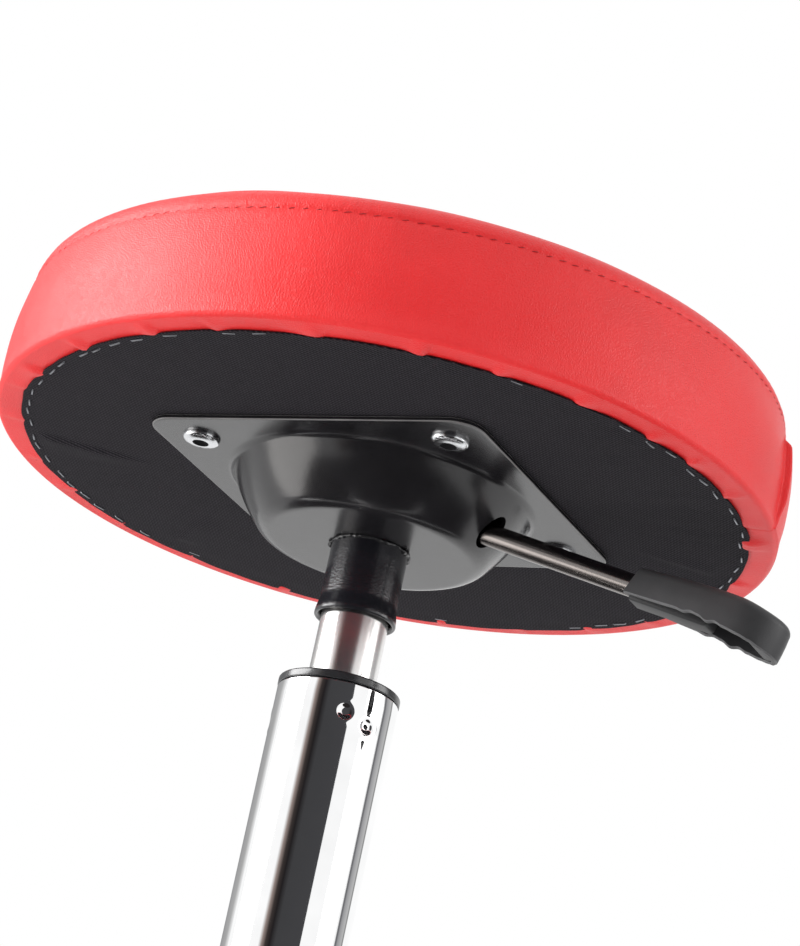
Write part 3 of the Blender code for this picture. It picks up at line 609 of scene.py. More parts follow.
def cushion_move(radius, height, row):
    """How far the cover stands out from its plain form at a point of the profile."""
    angle, slow, other, quick, fine, fold, seam_z = row
    if radius < SEAM_RADIUS - 0.006 and height > 0.04:
        return 0.0004 * slow * (radius / SEAT_RADIUS) ** 2
    under = height < FOLD_Z + EDGE_ROUND * 0.6
    if under:
        inner = ease(0.1632, 0.1540, radius)
        gathered = min(fold, 1.1) * ease(0.1485, 0.1520, radius)
        move = 0.0017 * inner * gathered + 0.0002 * inner * fine
    else:
        from_seam = height - seam_z
        pull = exp(-abs(from_seam) / 0.005)
        move = 0.00012 * sin(angle * STITCHES) * pull + 0.00022 * pull * quick
        move -= 0.0005 * bell(from_seam, 0.0011)
        middle = ease(0.050, 0.034, height) * ease(0.004, 0.012, height)
        move += 0.00045 * other * middle + 0.00010 * quick * middle
        # The side draws in just above the lower edge, where the cover turns under
        move -= 0.00030 * bell(height - 0.0085, 0.0035) * (0.8 + 0.4 * slow)
        move += 0.00012 * ease(0.010, 0.004, height) * min(fold, 1.0)
    lap = turn_between(angle, LAP_ANGLE)
    if 0 <= lap < 1.2:
        level = ease(0.043, 0.038, height) * ease(-0.004, 0.018, height) * (0.35 if under else 1.0)
        move += 0.0032 * level * ease(0.0, 0.0055, lap) * exp(-lap / 0.30)
    return move


def cushion_mesh():
    profile = cushion_profile()
    angles = round_angles(540)
    table = [cushion_row(angle) for angle in angles]
    rings = []
    for i, (radius, height) in enumerate(profile):
        before, after = profile[max(i - 1, 0)], profile[min(i + 1, len(profile) - 1)]
        along = Vector((after[0] - before[0], after[1] - before[1])).normalized()
        out, up = (-along[1], along[0]) if i else (0, 1)
        ring = []
        for row in table:
            move = cushion_move(radius, height, row)
            ring.append(polar(radius + out * move, row[0], SEAT_Z + height + up * move))
        rings.append(ring)
    for radius, height in ((profile[-1][0], FOLD_Z + 0.0011), (0.0, FOLD_Z + 0.0012)):
        rings.append([polar(radius, angle, SEAT_Z + height) for angle in angles])
    return loft("seat_cushion", rings, sharp=75)


cushion = piece("seat_cushion", cushion_mesh(), RED, SEAT, ("seat_cover", "seat_foam"))


def seam_stitches():
    """Short sunk stitches along the shoulder's seam."""
    stitches = []
    for k in range(STITCHES):
        middle = 2 * pi * (k + rng.uniform(-0.08, 0.08)) / STITCHES
        bend = asin(max(-1.0, min(1.0, (seam_height(middle) - SIDE_HEIGHT) / SHOULDER)))
        radius = SEAM_RADIUS - SHOULDER * (1 - cos(bend))
        half = rng.uniform(0.0016, 0.0020) / radius
        rings = []
        for share in (-1, -0.7, 0, 0.7, 1):
            angle = middle + half * share
            thick = 0.00016 * sqrt(max(0.06, 1 - share**2))
            out = radius - 0.00028 - 0.0004 * share**2
            centre = Vector(polar(out, angle, SEAT_Z + seam_height(angle) + 0.0003 * share))
            radial = Vector(polar(1, angle))
            rings.append([centre + (radial * cos(t) + UP * sin(t)) * thick for t in turns(6)])
        stitches.append(rings)
    return lofts("seam_stitches", stitches, caps=True)


piece("seam_stitches", seam_stitches(), THREAD, SEAT)


# Dust cover: slack woven sheet with an uneven edge, and the staples that hold it

# Start, end and depth of the cloth's slack folds
FOLDS = [
    ((-0.1395, -0.0530), (-0.1040, -0.0265), 0.0011),
    ((-0.128, 0.060), (-0.103, 0.036), 0.0007),
    ((0.118, 0.082), (0.094, 0.060), 0.0006),
]


def cover_edge(angle):
    """The cloth's uneven radius. It reaches further out on the far side."""
    ragged = 0.0006 * wander(angle, WAVES, 0.9) + 0.0005 * wander(angle, RIPPLES, 1.3)
    wider = 0.0017 * (1 + cos(angle - FAR_SIDE))
    return COVER_RADIUS + wider + ragged - 0.0010 * min(pleat(angle), 1.2)


def cover_sag(x, y):
    """How far the slack cloth hangs below its flat place: soft waves near the edge, and a few folds."""
    radius, angle = hypot(x, y), atan2(y, x)
    clear = ease(0.100, 0.125, radius) * ease(0.1485, 0.140, radius)
    sag = clear * 0.00016 * (1 + wander(angle, RIPPLES, 2.0))
    for start, end, depth in FOLDS:
        along = Vector((end[0] - start[0], end[1] - start[1]))
        rest = Vector((x - start[0], y - start[1]))
        share = rest.dot(along) / along.length_squared
        if -0.2 < share < 1.3:
            side = (rest.x * along.y - rest.y * along.x) / along.length
            taper = ease(-0.05, 0.15, share) * ease(1.25, 0.6, share)
            width = 0.0022 if side > 0 else 0.0085
            sag += depth * taper * bell(side, width) * ease(0.1495, 0.1440, radius)
    return sag


def dust_cover_mesh():
    edges = [(angle, cover_edge(angle)) for angle in turns(420)]
    shares = [0.02, 0.2, 0.4, 0.52, 0.60] + [0.63 + 0.0095 * k for k in range(39)] + [1.0]
    lower = []
    for share in shares:
        points = [polar(edge * share, angle) for angle, edge in edges]
        lower.append([(x, y, SEAT_Z - cover_sag(x, y)) for x, y, _ in points])
    upper = [[(x, y, z + COVER_THICKNESS) for x, y, z in ring] for ring in reversed(lower)]
    return loft("dust_cloth", lower + upper, caps=True, sharp=60)


piece("dust_cloth", dust_cover_mesh(), FABRIC, SEAT, ("dust_cover",))


def staples_mesh():
    """Flat wire staples along the cloth's edge, set by hand and so a little uneven.

    Most of those on the near and the far side are driven in flush.
    """
    wide, thick = 0.0003, 0.00018
    section = ((-wide, -thick), (wide, -thick), (wide, thick), (-wide, thick))
    staples = []
    for k in range(STAPLES):
        angle = 2 * pi * (k + rng.uniform(-0.22, 0.22)) / STAPLES
        facing = cos(angle - NEAR_SIDE)
        inset = 0.0030 - 0.0016 * (0.5 + 0.5 * facing) ** 2
        radius = cover_edge(angle) - inset + rng.uniform(-0.0008, 0.0005)
        lean = rng.uniform(-0.16, 0.16)
        half = rng.uniform(0.0029, 0.0034)
        sunk = rng.uniform(0.0, 0.00034) + 0.0005 * ease(0.70, 0.88, abs(facing))
        where = Matrix.Translation(polar(radius, angle, SEAT_Z - 0.0001 + sunk))
        where = where @ Matrix.Rotation(angle + pi / 2 + lean, 4, "Z")
        right = [(half - 0.0005, -0.0003), (half, 0.0), (half + 0.0001, 0.0006)]
        wire = [(-x, z) for x, z in reversed(right)] + right
        staples.append([[where @ Vector((x, y, z + t)) for y, t in section] for x, z in wire])
    return lofts("staples", staples, caps=True, sharp=50)


piece("staples", staples_mesh(), STAPLE, SEAT)


# Mounting plate: pressed steel dish with a square flange, and a slot for the lever

PLATE_HALF = 0.075
PLATE_CORNER = 0.012
PLATE_THICKNESS = 0.002
PLATE_Z = SEAT_Z - GAP - PLATE_THICKNESS
DISH_Z = PLATE_Z - 0.0245
LEVER_RADIUS = 0.0047
LEVER_PLAY = 0.0004
LEVER_DROOP = radians(16.8)
LEVER_PIVOT = Vector((0.036, 0, 0.34998))
LEVER_FRAME = Matrix.Translation(LEVER_PIVOT) @ Matrix.Rotation(LEVER_DROOP, 4, "Y")


def square_ring(half, corner, height, per_edge=34, per_corner=14):
    """A rounded square, its points spread as those of the round rings that it joins."""
    flat = half - corner
    side = [Vector((half, -flat + 2 * flat * i / per_edge, height)) for i in range(per_edge)]
    for i in range(per_corner):
        a = pi / 2 * i / per_corner
        side.append(Vector((flat + corner * cos(a), flat + corner * sin(a), height)))
    return [Matrix.Rotation(pi / 2 * turn, 3, "Z") @ point for turn in range(4) for point in side]


def dish_section():
    """(radius, height) of the pressing's lower face, from its middle hole to the flange.

    The wall between the two rounded corners bows outwards a little, by an angle in degrees at each end.
    """
    floor_round, top_round, bow = 0.0095, 0.004, 7
    floor_centre, top_centre = (0.042, DISH_Z + floor_round), (0.0655, PLATE_Z - top_round)
    across = Vector((top_centre[0] - floor_centre[0], top_centre[1] - floor_centre[1]))
    lean = asin((floor_round + top_round) / across.length)
    wall = degrees(atan2(across.y, across.x) + lean)
    section = [(radius, DISH_Z) for radius in np.linspace(0.007, 0.040, 9)]
    section += arc(floor_centre, floor_round, -90, wall - bow - 90, 14)
    top = arc(top_centre, top_round, wall + bow + 90, 90, 16)
    start, end = Vector(section[-1]), Vector(top[0])
    chord = end - start
    middle = (start + end) / 2 + Vector((chord.y, -chord.x)) * tan(radians(bow)) / 2
    section += [tuple(curve(start, middle, end, share)) for share in np.linspace(0, 1, 11)[1:-1]]
    return section + top


def plate_mesh():
    outline = square_ring(PLATE_HALF, PLATE_CORNER, PLATE_Z)
    angles = [atan2(point.y, point.x) for point in outline]
    section = dish_section()
    rings = [[polar(radius, a, z) for a in angles] for radius, z in section]
    brim = [Vector(polar(section[-1][0], a, PLATE_Z)) for a in angles]
    for share in (0.12, 0.3, 0.55, 0.8, 0.94, 1.0):
        rings.append([start.lerp(end, share) for start, end in zip(brim, outline)])
    mesh = loft("dish", rings)
    if sum(face.normal.z for face in mesh.polygons) > 0:
        mesh.flip_normals()
    return modified(mesh, "SOLIDIFY", thickness=PLATE_THICKNESS, offset=-1, use_even_offset=True)


def slot_cutter():
    """The lever's slot: wider than the rod, and as high as its swing needs."""
    wide, low, high = LEVER_RADIUS + LEVER_PLAY + 0.0010, LEVER_RADIUS + 0.0016, LEVER_RADIUS + 0.0042
    oval = [(wide * cos(a), sin(a) * (high if sin(a) > 0 else low)) for a in turns(40)]
    rings = [[LEVER_FRAME @ Vector((x, y, z)) for y, z in oval] for x in (0.0105, 0.042)]
    return loft("slot", rings, caps=True)


# The plate's rounded edges take a lighter grey enamel: a painted highlight along the edges
plate = bevelled(dressed(plate_mesh(), ENAMEL, EDGE_HIGHLIGHT), 0.00042, 50, 1)
plate = finished(cut(plate, [slot_cutter()]))
piece("seat_plate", plate, ENAMEL, SEAT, ("mounting_plate",))


# Socket tube, gas cylinder, column and bushing ring

SOCKET_LOW, SOCKET_HIGH = (corner.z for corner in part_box("socket_tube"))
SOCKET_RADIUS = 0.016
SOCKET_INNER = 0.0143
CYLINDER_LOW, CYLINDER_HIGH = (corner.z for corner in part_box("gas_cylinder"))
CYLINDER_RADIUS = 0.014
CYLINDER_INNER = 0.0125
COLUMN_LOW, COLUMN_HIGH = (corner.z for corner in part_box("column_tube"))
COLUMN_RADIUS = 0.025
COLUMN_INNER = COLUMN_RADIUS - 0.0015
BUSHING_LOW, BUSHING_HIGH = (corner.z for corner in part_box("column_bushing"))


def weld_bead(name, radius, height, size, seed):
    """A hand-laid weld: a thin bead that swells, narrows and nearly breaks off as it goes round."""
    noise = np.random.default_rng(seed)
    table = [(int(noise.integers(3, 11)), noise.uniform(0, 6.28), 1.0) for _ in range(5)]
    fine = [(int(noise.integers(18, 50)), noise.uniform(0, 6.28), 1.0) for _ in range(7)]
    rings = []
    for angle in turns(220):
        swell = 0.75 + 0.45 * wander(angle, table)
        out = size * max(0.18, swell + 0.24 * wander(angle, fine))
        drop = size * max(0.18, 0.9 * swell + 0.28 * wander(angle, fine, 0.8))
        middle = height + size * 0.35 * wander(angle, table, 0.4)
        rings.append([polar(radius + out * cos(t), angle, middle + drop * sin(t)) for t in turns(14)])
    return loft(name, rings, closed=True, sharp=80)


def socket_mesh():
    """The socket's tube: drawn straight, then belled a little at its open lower end."""
    lip, lip_round, bell_length = 0.0009, 0.0008, 0.0075
    profile = [(SOCKET_INNER, SOCKET_LOW + 0.0030), (SOCKET_INNER + 0.0002, SOCKET_LOW + 0.0014)]
    profile += arc((SOCKET_RADIUS + lip - lip_round, SOCKET_LOW + lip_round), lip_round, 215, 360, 10)
    for share in (i / 11 for i in range(1, 12)):
        out = lip * (1 - ease(0, 1, share))
        profile.append((SOCKET_RADIUS + out, SOCKET_LOW + 0.0010 + bell_length * share))
    profile += [(SOCKET_RADIUS, SOCKET_LOW + 0.016), (SOCKET_RADIUS, SOCKET_HIGH)]
    profile.append((SOCKET_INNER, SOCKET_HIGH))
    table = [(2, 0.4, 1.0), (3, 1.9, 0.7), (5, 4.0, 0.5)]

    def uneven(angle, z):
        return 0.0001 * wander(angle, table) * ease(0.008, 0.0, z - SOCKET_LOW)

    return lathe("socket", profile, 144, 35, uneven)


def cylinder_mesh():
    """The gas cylinder, open below for its gland, with a rolled lower edge."""
    low, high = 0.0009, 0.0012
    profile = [(CYLINDER_INNER, CYLINDER_LOW + 0.0006)]
    profile += arc((CYLINDER_RADIUS - low, CYLINDER_LOW + low), low, -90, 0, 6)
    profile += arc((CYLINDER_RADIUS - high, CYLINDER_HIGH - high), high, 0, 90, 6)
    return lathe("cylinder", profile + [(CYLINDER_INNER, CYLINDER_HIGH)])


CRIMPS = [
    (radians(angle + 120 * k), SEAT_Z - drop)
    for angle, drop in ((-51.8, 0.1047), (-27.8, 0.1080))
    for k in range(3)
]


def crimp(angle, height):
    """The punched dimples that hold the bushing in the column, each with a faint raised rim."""
    depth = 0.0
    for centre, z in CRIMPS:
        away = hypot(turn_between(angle, centre) * COLUMN_RADIUS, height - z)
        if away < 0.006:
            depth -= 0.0009 * (1 - ease(0.0012, 0.0037, away)) - 0.00012 * bell(away - 0.0042, 0.0010)
    return depth


def column_mesh():
    edge = 0.0006
    profile = arc((COLUMN_RADIUS - edge, COLUMN_LOW + edge), edge, -90, -18, 4)
    heights = [COLUMN_LOW + edge, COLUMN_LOW + 0.02, COLUMN_LOW + 0.06]
    heights += list(np.linspace(SEAT_Z - 0.115, SEAT_Z - 0.098, 52)) + [COLUMN_HIGH - edge]
    profile += [(COLUMN_RADIUS, z) for z in heights]
    profile += arc((COLUMN_RADIUS - edge, COLUMN_HIGH - edge), edge, 18, 90, 4)
    profile += [(COLUMN_INNER, COLUMN_HIGH), (COLUMN_INNER, COLUMN_LOW)]
    return lathe("column", profile, 384, bend=crimp)


def bushing_mesh():
    """The guide bushing: its proud ring closes the column, its sleeve guides the cylinder."""
    ring, body, bore = COLUMN_RADIUS + 0.0002, COLUMN_INNER - GAP, CYLINDER_RADIUS + GAP
    foot, top_round, foot_round = COLUMN_HIGH + GAP, 0.0007, 0.0005
    # The dished top face falls a little towards the bore
    profile = [(bore, BUSHING_HIGH - 0.0008), (bore + 0.0010, BUSHING_HIGH - 0.0003)]
    profile += arc((ring - top_round, BUSHING_HIGH - top_round), top_round, 90, 0, 6)
    profile += arc((ring - foot_round, foot + foot_round), foot_round, 0, -90, 5)
    profile += [(body, foot), (body, BUSHING_LOW), (bore, BUSHING_LOW)]
    return lathe("bushing", profile, 144)


piece("socket_sleeve", socket_mesh(), PEEL, SEAT, ("socket_tube",))
bead = weld_bead("socket_weld", SOCKET_RADIUS + 0.0001, SOCKET_HIGH - 0.0003, 0.0011, 3)
piece("socket_weld", bead, WELD, SEAT)
piece("lift_cylinder", cylinder_mesh(), STEEL, SEAT, ("gas_cylinder",))
piece("column_sleeve", column_mesh(), CHROME, BASE, ("column_tube",))
piece("guide_bushing", bushing_mesh(), RING, BASE, ("column_bushing",))


# Screws: flat rounded heads with a cross recess

SCREW_TURNS = (17, 48, -25, 70)


def screw_mesh(high):
    """One screw along Z up to a height: its head is below the plate, with a cross recess in a round well."""
    head, rise, shank, power, well = 0.0078, 0.0026, 0.0029, 3.2, 0.0034
    top = PLATE_Z - 0.0001
    low = top - rise

    def dome(radius):
        return low + rise * (1 - (1 - min(1.0, radius / head) ** power) ** (1 / power))

    profile = [(0, low + 0.0020), (0.0010, low + 0.0020), (0.0030, low + 0.0009)]
    profile += [(well - 0.0001, dome(well) + 0.0001), (well, dome(well))]
    for i in range(1, 25):
        radius = head * sin(pi / 2 * i / 24) ** (2 / power)
        if radius > well + 0.0002:
            profile.append((radius, dome(radius)))
    profile += [(head - 0.0002, top), (shank, top), (shank, high - 0.002), (0, high)]

    run, wide = 0.0046, 0.0007
    corners = ((-run, -wide), (run, -wide), (run, wide), (-run, wide))
    mouth = [(x, y, -0.002) for x, y in corners]
    bottom = [(x * 0.45, y * 0.7, 0.0018) for x, y in corners]
    slot = loft("slot", [mouth, bottom], caps=True)
    place = Matrix.Translation((0, 0, low))
    ways = [place @ Matrix.Rotation(radians(turn), 4, "Z") for turn in (0, 90)]
    slots = [placed(slot, way, "slot") for way in ways]
    made = dressed(finished(cut(lathe("screw", profile, 72, 50), slots), 30), ZINC, RECESS_SHADE)
    # Faces sunk in the recess below the dome take the second, near-black material: painted shade in the
    # recess
    for face in made.polygons:
        reach = hypot(face.center.x, face.center.y)
        face.material_index = int(reach < head * 0.6 and top > face.center.z > dome(reach) + 0.00004)
    return made


for k, turn in enumerate(SCREW_TURNS, 1):
    low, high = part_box(f"seat_screw_{k}")
    middle = (low + high) / 2
    mesh = screw_mesh(high.z)
    mesh.transform(Matrix.Translation((middle.x, middle.y, 0)) @ Matrix.Rotation(radians(turn), 4, "Z"))
    piece(f"truss_screw_{k}", mesh, ZINC, SEAT, (f"seat_screw_{k}",))


# Lever: bent rod and a hollow moulded grip

GRIP_LENGTH = 0.0695
GRIP_ROOT = LEVER_PIVOT + Vector((0.08598, 0, -0.02595))
GRIP_FRAME = Matrix.Translation(GRIP_ROOT) @ Matrix.Rotation(LEVER_DROOP, 4, "Y")
# Millimetres along the grip and height of its walls' lower edge there
GRIP_EDGE = (
    (0.0, -5.0), (26.0, -5.2), (30.5, -5.7), (34.0, -4.9), (37.5, -5.3), (42.5, -6.7),
    (46.0, -5.8), (50.0, -6.6), (57.0, -7.3), (62.0, -7.8), (66.0, -8.4), (69.5, -8.6),
)


def lever_route():
    """The rod's middle line: level inside the dish, then a smooth bend into its drooping run."""
    level, bend, clear_of_valve = SEAT_Z - 0.0105, 0.005, 0.0006
    low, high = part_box("lever_rod")
    away = Vector((cos(LEVER_DROOP), 0, -sin(LEVER_DROOP)))
    corner = Vector((LEVER_PIVOT.x - (level - LEVER_PIVOT.z) / tan(LEVER_DROOP), 0, level))
    start, end = corner - Vector((bend, 0, 0)), corner + away * bend
    tip_x = high.x - LEVER_RADIUS * sin(LEVER_DROOP)
    route = [Vector((low.x, 0, level + clear_of_valve))]
    route += [curve(start, corner, end, i / 8) for i in range(9)]
    return route + [corner + away * ((tip_x - corner.x) / away.x)]


def grip_half_width(x):
    """The grip's half width along its length: narrow at the root, widest near its round tip."""
    root, widest, tip_start = 0.008, 0.0150, 0.72
    share = min(1.0, max(0.0, x / GRIP_LENGTH))
    flare = root + (widest - root) * sin(min(1.0, share / tip_start) * pi / 2) ** 1.25
    if share <= tip_start:
        return flare
    return flare * sqrt(max(0.0, 1 - ((share - tip_start) / (1 - tip_start)) ** 2.6))


def grip_outline(count=150):
    """Points round the grip in plan, from the root's near corner to its far corner."""
    along = [GRIP_LENGTH * (1 - (1 - i / (count - 1)) ** 1.8) for i in range(count)]
    near = [(x, -grip_half_width(x)) for x in along]
    return near + [(x, -y) for x, y in reversed(near[:-1])]


def grip_top(x):
    """The roof's height: it rises from the root, then dips as a thumb rest."""
    share = x / GRIP_LENGTH
    return 0.0072 + 0.0004 * sin(share * pi) - 0.0012 * ease(0.72, 1.0, share)


def grip_low(x):
    """The walls' lower edge: straight, then two finger hollows, then a deeper tip."""
    at = x * 1000
    for (a, low), (b, high) in zip(GRIP_EDGE, GRIP_EDGE[1:]):
        if at <= b:
            return (low + (high - low) * ease(a, b, at)) / 1000
    return GRIP_EDGE[-1][1] / 1000


def grip_lean(point):
    """The root's end leans: its top starts further out than its foot."""
    near = max(0.0, 1 - point.x / 0.022)
    return Vector((point.x + 0.0024 * near * (point.z + 0.005) / 0.0122, point.y, point.z))


def grip_inset(outline, amount):
    """The outline moved inwards by an amount, measured square to it, but never across the middle."""
    made = []
    for i, (x, y) in enumerate(outline):
        before, after = outline[max(i - 1, 0)], outline[min(i + 1, len(outline) - 1)]
        along = Vector((after[0] - before[0], after[1] - before[1]))
        along = along.normalized() if along.length > 1e-9 else Vector((0, 1))
        nx, ny = x - along.y * amount, y + along.x * amount
        if ny * y < 0 or (abs(y) > 1e-6 and abs(ny) < 1e-4):
            ny = copysign(1e-4, y)
        made.append((max(nx, 0.0), ny))
    return made


def grip_mesh():
    """A thin moulded shell, open below: roof, rounded shoulder and a wall that follows the outline."""
    wall, shoulder, lip = 0.0025, 0.0035, 0.0006
    outline = grip_outline()
    count = len(outline)
    strips = []

    def strip(amount, height):
        points = zip(outline, grip_inset(outline, amount))
        strips.append([Vector((x, y, height(along))) for (along, _), (x, y) in points])

    strip(wall, grip_low)
    strip(wall - lip, lambda x: grip_low(x) - lip)
    strip(lip, lambda x: grip_low(x) - lip)
    strip(0.0, grip_low)
    for share in (0.3, 0.6):
        swell = -0.0002 * sin(share * pi)
        strip(swell, lambda x: grip_low(x) + share * (grip_top(x) - shoulder - grip_low(x)))
    for bend in range(0, 91, 15):
        a = radians(bend)
        strip(shoulder * (1 - cos(a)), lambda x: grip_top(x) - shoulder * (1 - sin(a)))
    for amount in (0.0055, 0.008, 0.0105):
        strip(amount, lambda x: grip_top(x) + 0.02 * amount)
    roof = len(strips)
    inside = [(0.0105, 0.0022), (0.008, 0.0022), (0.0055, 0.0022)]
    for amount, drop in inside + [(wall + 0.0012, 0.0026), (wall + 0.0003, 0.0036)]:
        strip(amount, lambda x: grip_top(x) - drop)

    # looks gives each face's material: 1, the lighter grey on the rim's chamfers, is a painted highlight; 2,
    # the near-black on the inside, is painted shade in the hollow
    faces, looks = [], []
    rows = len(strips)
    for a in range(rows):
        b = (a + 1) % rows
        if a == roof - 1:
            continue
        for i in range(count - 1):
            faces.append((a * count + i, a * count + i + 1, b * count + i + 1, b * count + i))
            looks.append(1 if a in (0, 2) else 2 if a >= roof else 0)
    # The roof's middle, above and below, joins the near and the far side
    for a, flip in ((roof - 1, False), (roof, True)):
        for i in range(count // 2):
            j = count - 1 - i
            quad = (a * count + i, a * count + i + 1, a * count + j - 1, a * count + j)
            faces.append(tuple(reversed(quad)) if flip else quad)
            looks.append(2 if flip else 0)
    mesh = bpy.data.meshes.new("grip")
    mesh.from_pydata([GRIP_FRAME @ grip_lean(point) for row in strips for point in row], [], faces)
    dressed(mesh, GRIP, GRIP_RIM_HIGHLIGHT, GRIP_INSIDE_SHADE)
    mesh.polygons.foreach_set("material_index", looks)
    return cleaned(mesh, 38, 2e-5, fill=True)


def grip_block(name, sections, corner):
    """A block inside the grip over sections of (distance along it, half width, low, high)."""
    rings = []
    for x, half, low, high in sections:
        section = rounded_section(2 * half, high - low, corner, 6)
        rings.append([GRIP_FRAME @ Vector((x, y, (high + low) / 2 + z)) for y, z in section])
    return loft(name, rings, caps=True, sharp=35)


def grip_sleeve():
    """The square socket under the grip's roof that holds the rod, stepped at its end."""
    half, low, high = 0.0056, -0.0069, 0.0048
    stops = ((0.0016, 0.0004), (0.0020, 0.0), (0.0365, 0.0), (0.0376, 0.0005), (0.0380, 0.0014))
    return grip_block("grip_sleeve", [(x, half - pull, low + pull, high) for x, pull in stops], 0.0013)


def grip_toe():
    """The solid toe inside the grip's tip, where the finger hollow ends."""
    stops = [(0.0590, 0.0016), (0.0594, 0.0006), (0.0602, 0.0)]
    stops += [(0.0630, 0.0), (0.0655, 0.0), (0.0674, 0.0004)]
    sections = []
    for x, pull in stops:
        half = max(0.002, grip_half_width(x) - 0.0012 - pull)
        sections.append((x, half, grip_low(x) - 0.0001 + pull, grip_top(x) - 0.0028))
    return grip_block("grip_toe", sections, 0.0012)


bar = tube("lever_bar", lever_route(), LEVER_RADIUS, 40, 0.0006)
piece("lever_bar", bar, ROD, LEVER, ("lever_rod",))
piece("grip_toe", grip_toe(), GRIP, LEVER)
piece("grip_shell", grip_mesh(), GRIP, LEVER, ("lever_grip",))
piece("grip_sleeve", grip_sleeve(), GRIP, LEVER)


# Base: hub and five tapered legs

LEG_REACH = 0.230
LEG_ANGLES = [radians(-90 + 72 * k) for k in range(5)]
LEG_WIDTH = (0.034, 0.026)
LEG_TOP = (0.1176, 0.0876)
LEG_LOW = (0.0776, 0.0636)
LEG_ROUND = 0.0062
HUB_RADIUS = 0.0333
HUB_ROUND = 0.003
HUB_LOW, HUB_HIGH = (corner.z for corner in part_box("base_hub"))


def hub_mesh():
    middle = HUB_RADIUS - HUB_ROUND
    profile = arc((middle, HUB_HIGH - HUB_ROUND), HUB_ROUND, 90, 0, 8)
    profile += arc((middle, HUB_LOW + HUB_ROUND), HUB_ROUND, 0, -90, 8)
    bore = COLUMN_RADIUS + GAP
    return lathe("hub", profile + [(bore, HUB_LOW), (bore, HUB_HIGH)], 144)


def hub_disc_mesh():
    """The hub's closing disc under the column, with a rounded edge."""
    low, high, radius = HUB_LOW + 0.0004, COLUMN_LOW - GAP, 0.0249
    profile = [(0, low), (0.022, low), (radius, low + 0.0008), (radius, high), (0, high)]
    return lathe("hub_floor", profile, 96)


def leg_mesh():
    """One leg along +X: a tapered box with soft edges, falling and narrowing to a rounded end."""
    start, end, tip = HUB_RADIUS - 0.0016, LEG_REACH + 0.010, 0.006
    stops = list(np.linspace(start, end - tip, 22)) + [end - 0.004, end - 0.002, end - 0.0007, end]
    rings = []
    for x in stops:
        share = min(1.0, max(0.0, (x - HUB_RADIUS) / (LEG_REACH - HUB_RADIUS)))
        width, top, low = (root + (far - root) * share for root, far in (LEG_WIDTH, LEG_TOP, LEG_LOW))
        pull = 0.0
        if x > end - tip:
            pull = 0.005 * (1 - sqrt(max(0.0, 1 - ((x - (end - tip)) / tip) ** 2)))
        corner = min(LEG_ROUND, (top - low) / 2 - 0.001) - pull * 0.6
        section = rounded_section(width - 2 * pull, top - low - 2 * pull, max(corner, 0.002))
        rings.append([(x, y, (top + low) / 2 + z) for y, z in section])
    return loft("leg", rings, caps=True, sharp=50)


piece("hub_sleeve", hub_mesh(), CHROME, BASE, ("base_hub",))
piece("hub_disc", hub_disc_mesh(), CHROME, BASE)
LEG = leg_mesh()
for k, angle in enumerate(LEG_ANGLES, 1):
    mesh = placed(LEG, Matrix.Rotation(angle, 4, "Z"), f"leg_{k}")
    piece(f"leg_tube_{k}", mesh, CHROME, BASE, (f"base_leg_{k}",))


# Twin-wheel casters

WHEEL_RADIUS = 0.0275
WHEEL_WIDTH = 0.0145
WHEEL_GAP = 0.0008
AXLE_Z = WHEEL_RADIUS
CASTER_TRAIL = 0.0225
BODY_WIDTH = 0.017
BOSS_TOP = 0.061
BOSS_BORE = 0.0058


def wheel_mesh():
    """One wheel about Z, its outer face at the top, with a dished face, a hub cap and a mould line."""
    w, r, bore, tread, line, cap = WHEEL_WIDTH, WHEEL_RADIUS, 0.0034, 0.003, 0.00025, 0.0012
    profile = [(bore, 0.0), (0.024, 0.0)]
    profile += arc((r - tread, tread), tread, -90, 0, 7)
    profile += [(r, w * 0.47), (r - line, w * 0.49), (r - line, w * 0.51), (r, w * 0.53)]
    profile += arc((r - tread, w - tread), tread, 0, 90, 8)
    profile += arc((r - 0.0052, w - cap), cap, 90, 160, 5)
    profile += [(0.0185, w - 0.0028), (0.0130, w - 0.0026)]
    profile += arc((0.0110, w - 0.0022), cap, -20, 90, 6)
    profile += [(0.0085, w - 0.0007), (bore, w - 0.0006)]
    return lathe("wheel", profile, 112, 32)


def slab(name, outline, width, edge):
    """An outline in Y Z, made width thick along X about the middle, with rounded edges."""
    rings = [[(x, y, z) for y, z in outline] for x in (-width / 2, width / 2)]
    return bevelled(loft(name, rings, caps=True), edge, 40)


def housing_mesh():
    """The caster's hood over both wheels, its middle body and the boss round a stem at the origin."""
    inner, outer = WHEEL_RADIUS + 0.0015, WHEEL_RADIUS + 0.0040
    centre = (CASTER_TRAIL, AXLE_Z)
    hood = arc(centre, outer, 10, 170, 64) + arc(centre, inner, 170, 10, 64)
    body = arc(centre, (inner + outer) / 2, 10, 170, 48)
    foot = ((-0.020, -0.006), (-0.010, -0.010), (0.010, -0.010), (0.020, -0.006))
    body += [(CASTER_TRAIL + y, AXLE_Z + z) for y, z in foot]
    boss = [(BOSS_BORE, AXLE_Z + 0.012), (0.0080, AXLE_Z + 0.012), (0.0082, BOSS_TOP - 0.0012)]
    boss += arc((0.0070, BOSS_TOP - 0.0012), 0.0012, 0, 90, 6) + [(BOSS_BORE, BOSS_TOP)]
    parts = [
        slab("hood", hood, BODY_WIDTH + 2 * (WHEEL_WIDTH + WHEEL_GAP), 0.0007),
        slab("body", body, BODY_WIDTH - 0.0002, 0.0010),
        lathe("boss", boss, 64),
    ]
    return joined("housing", parts)


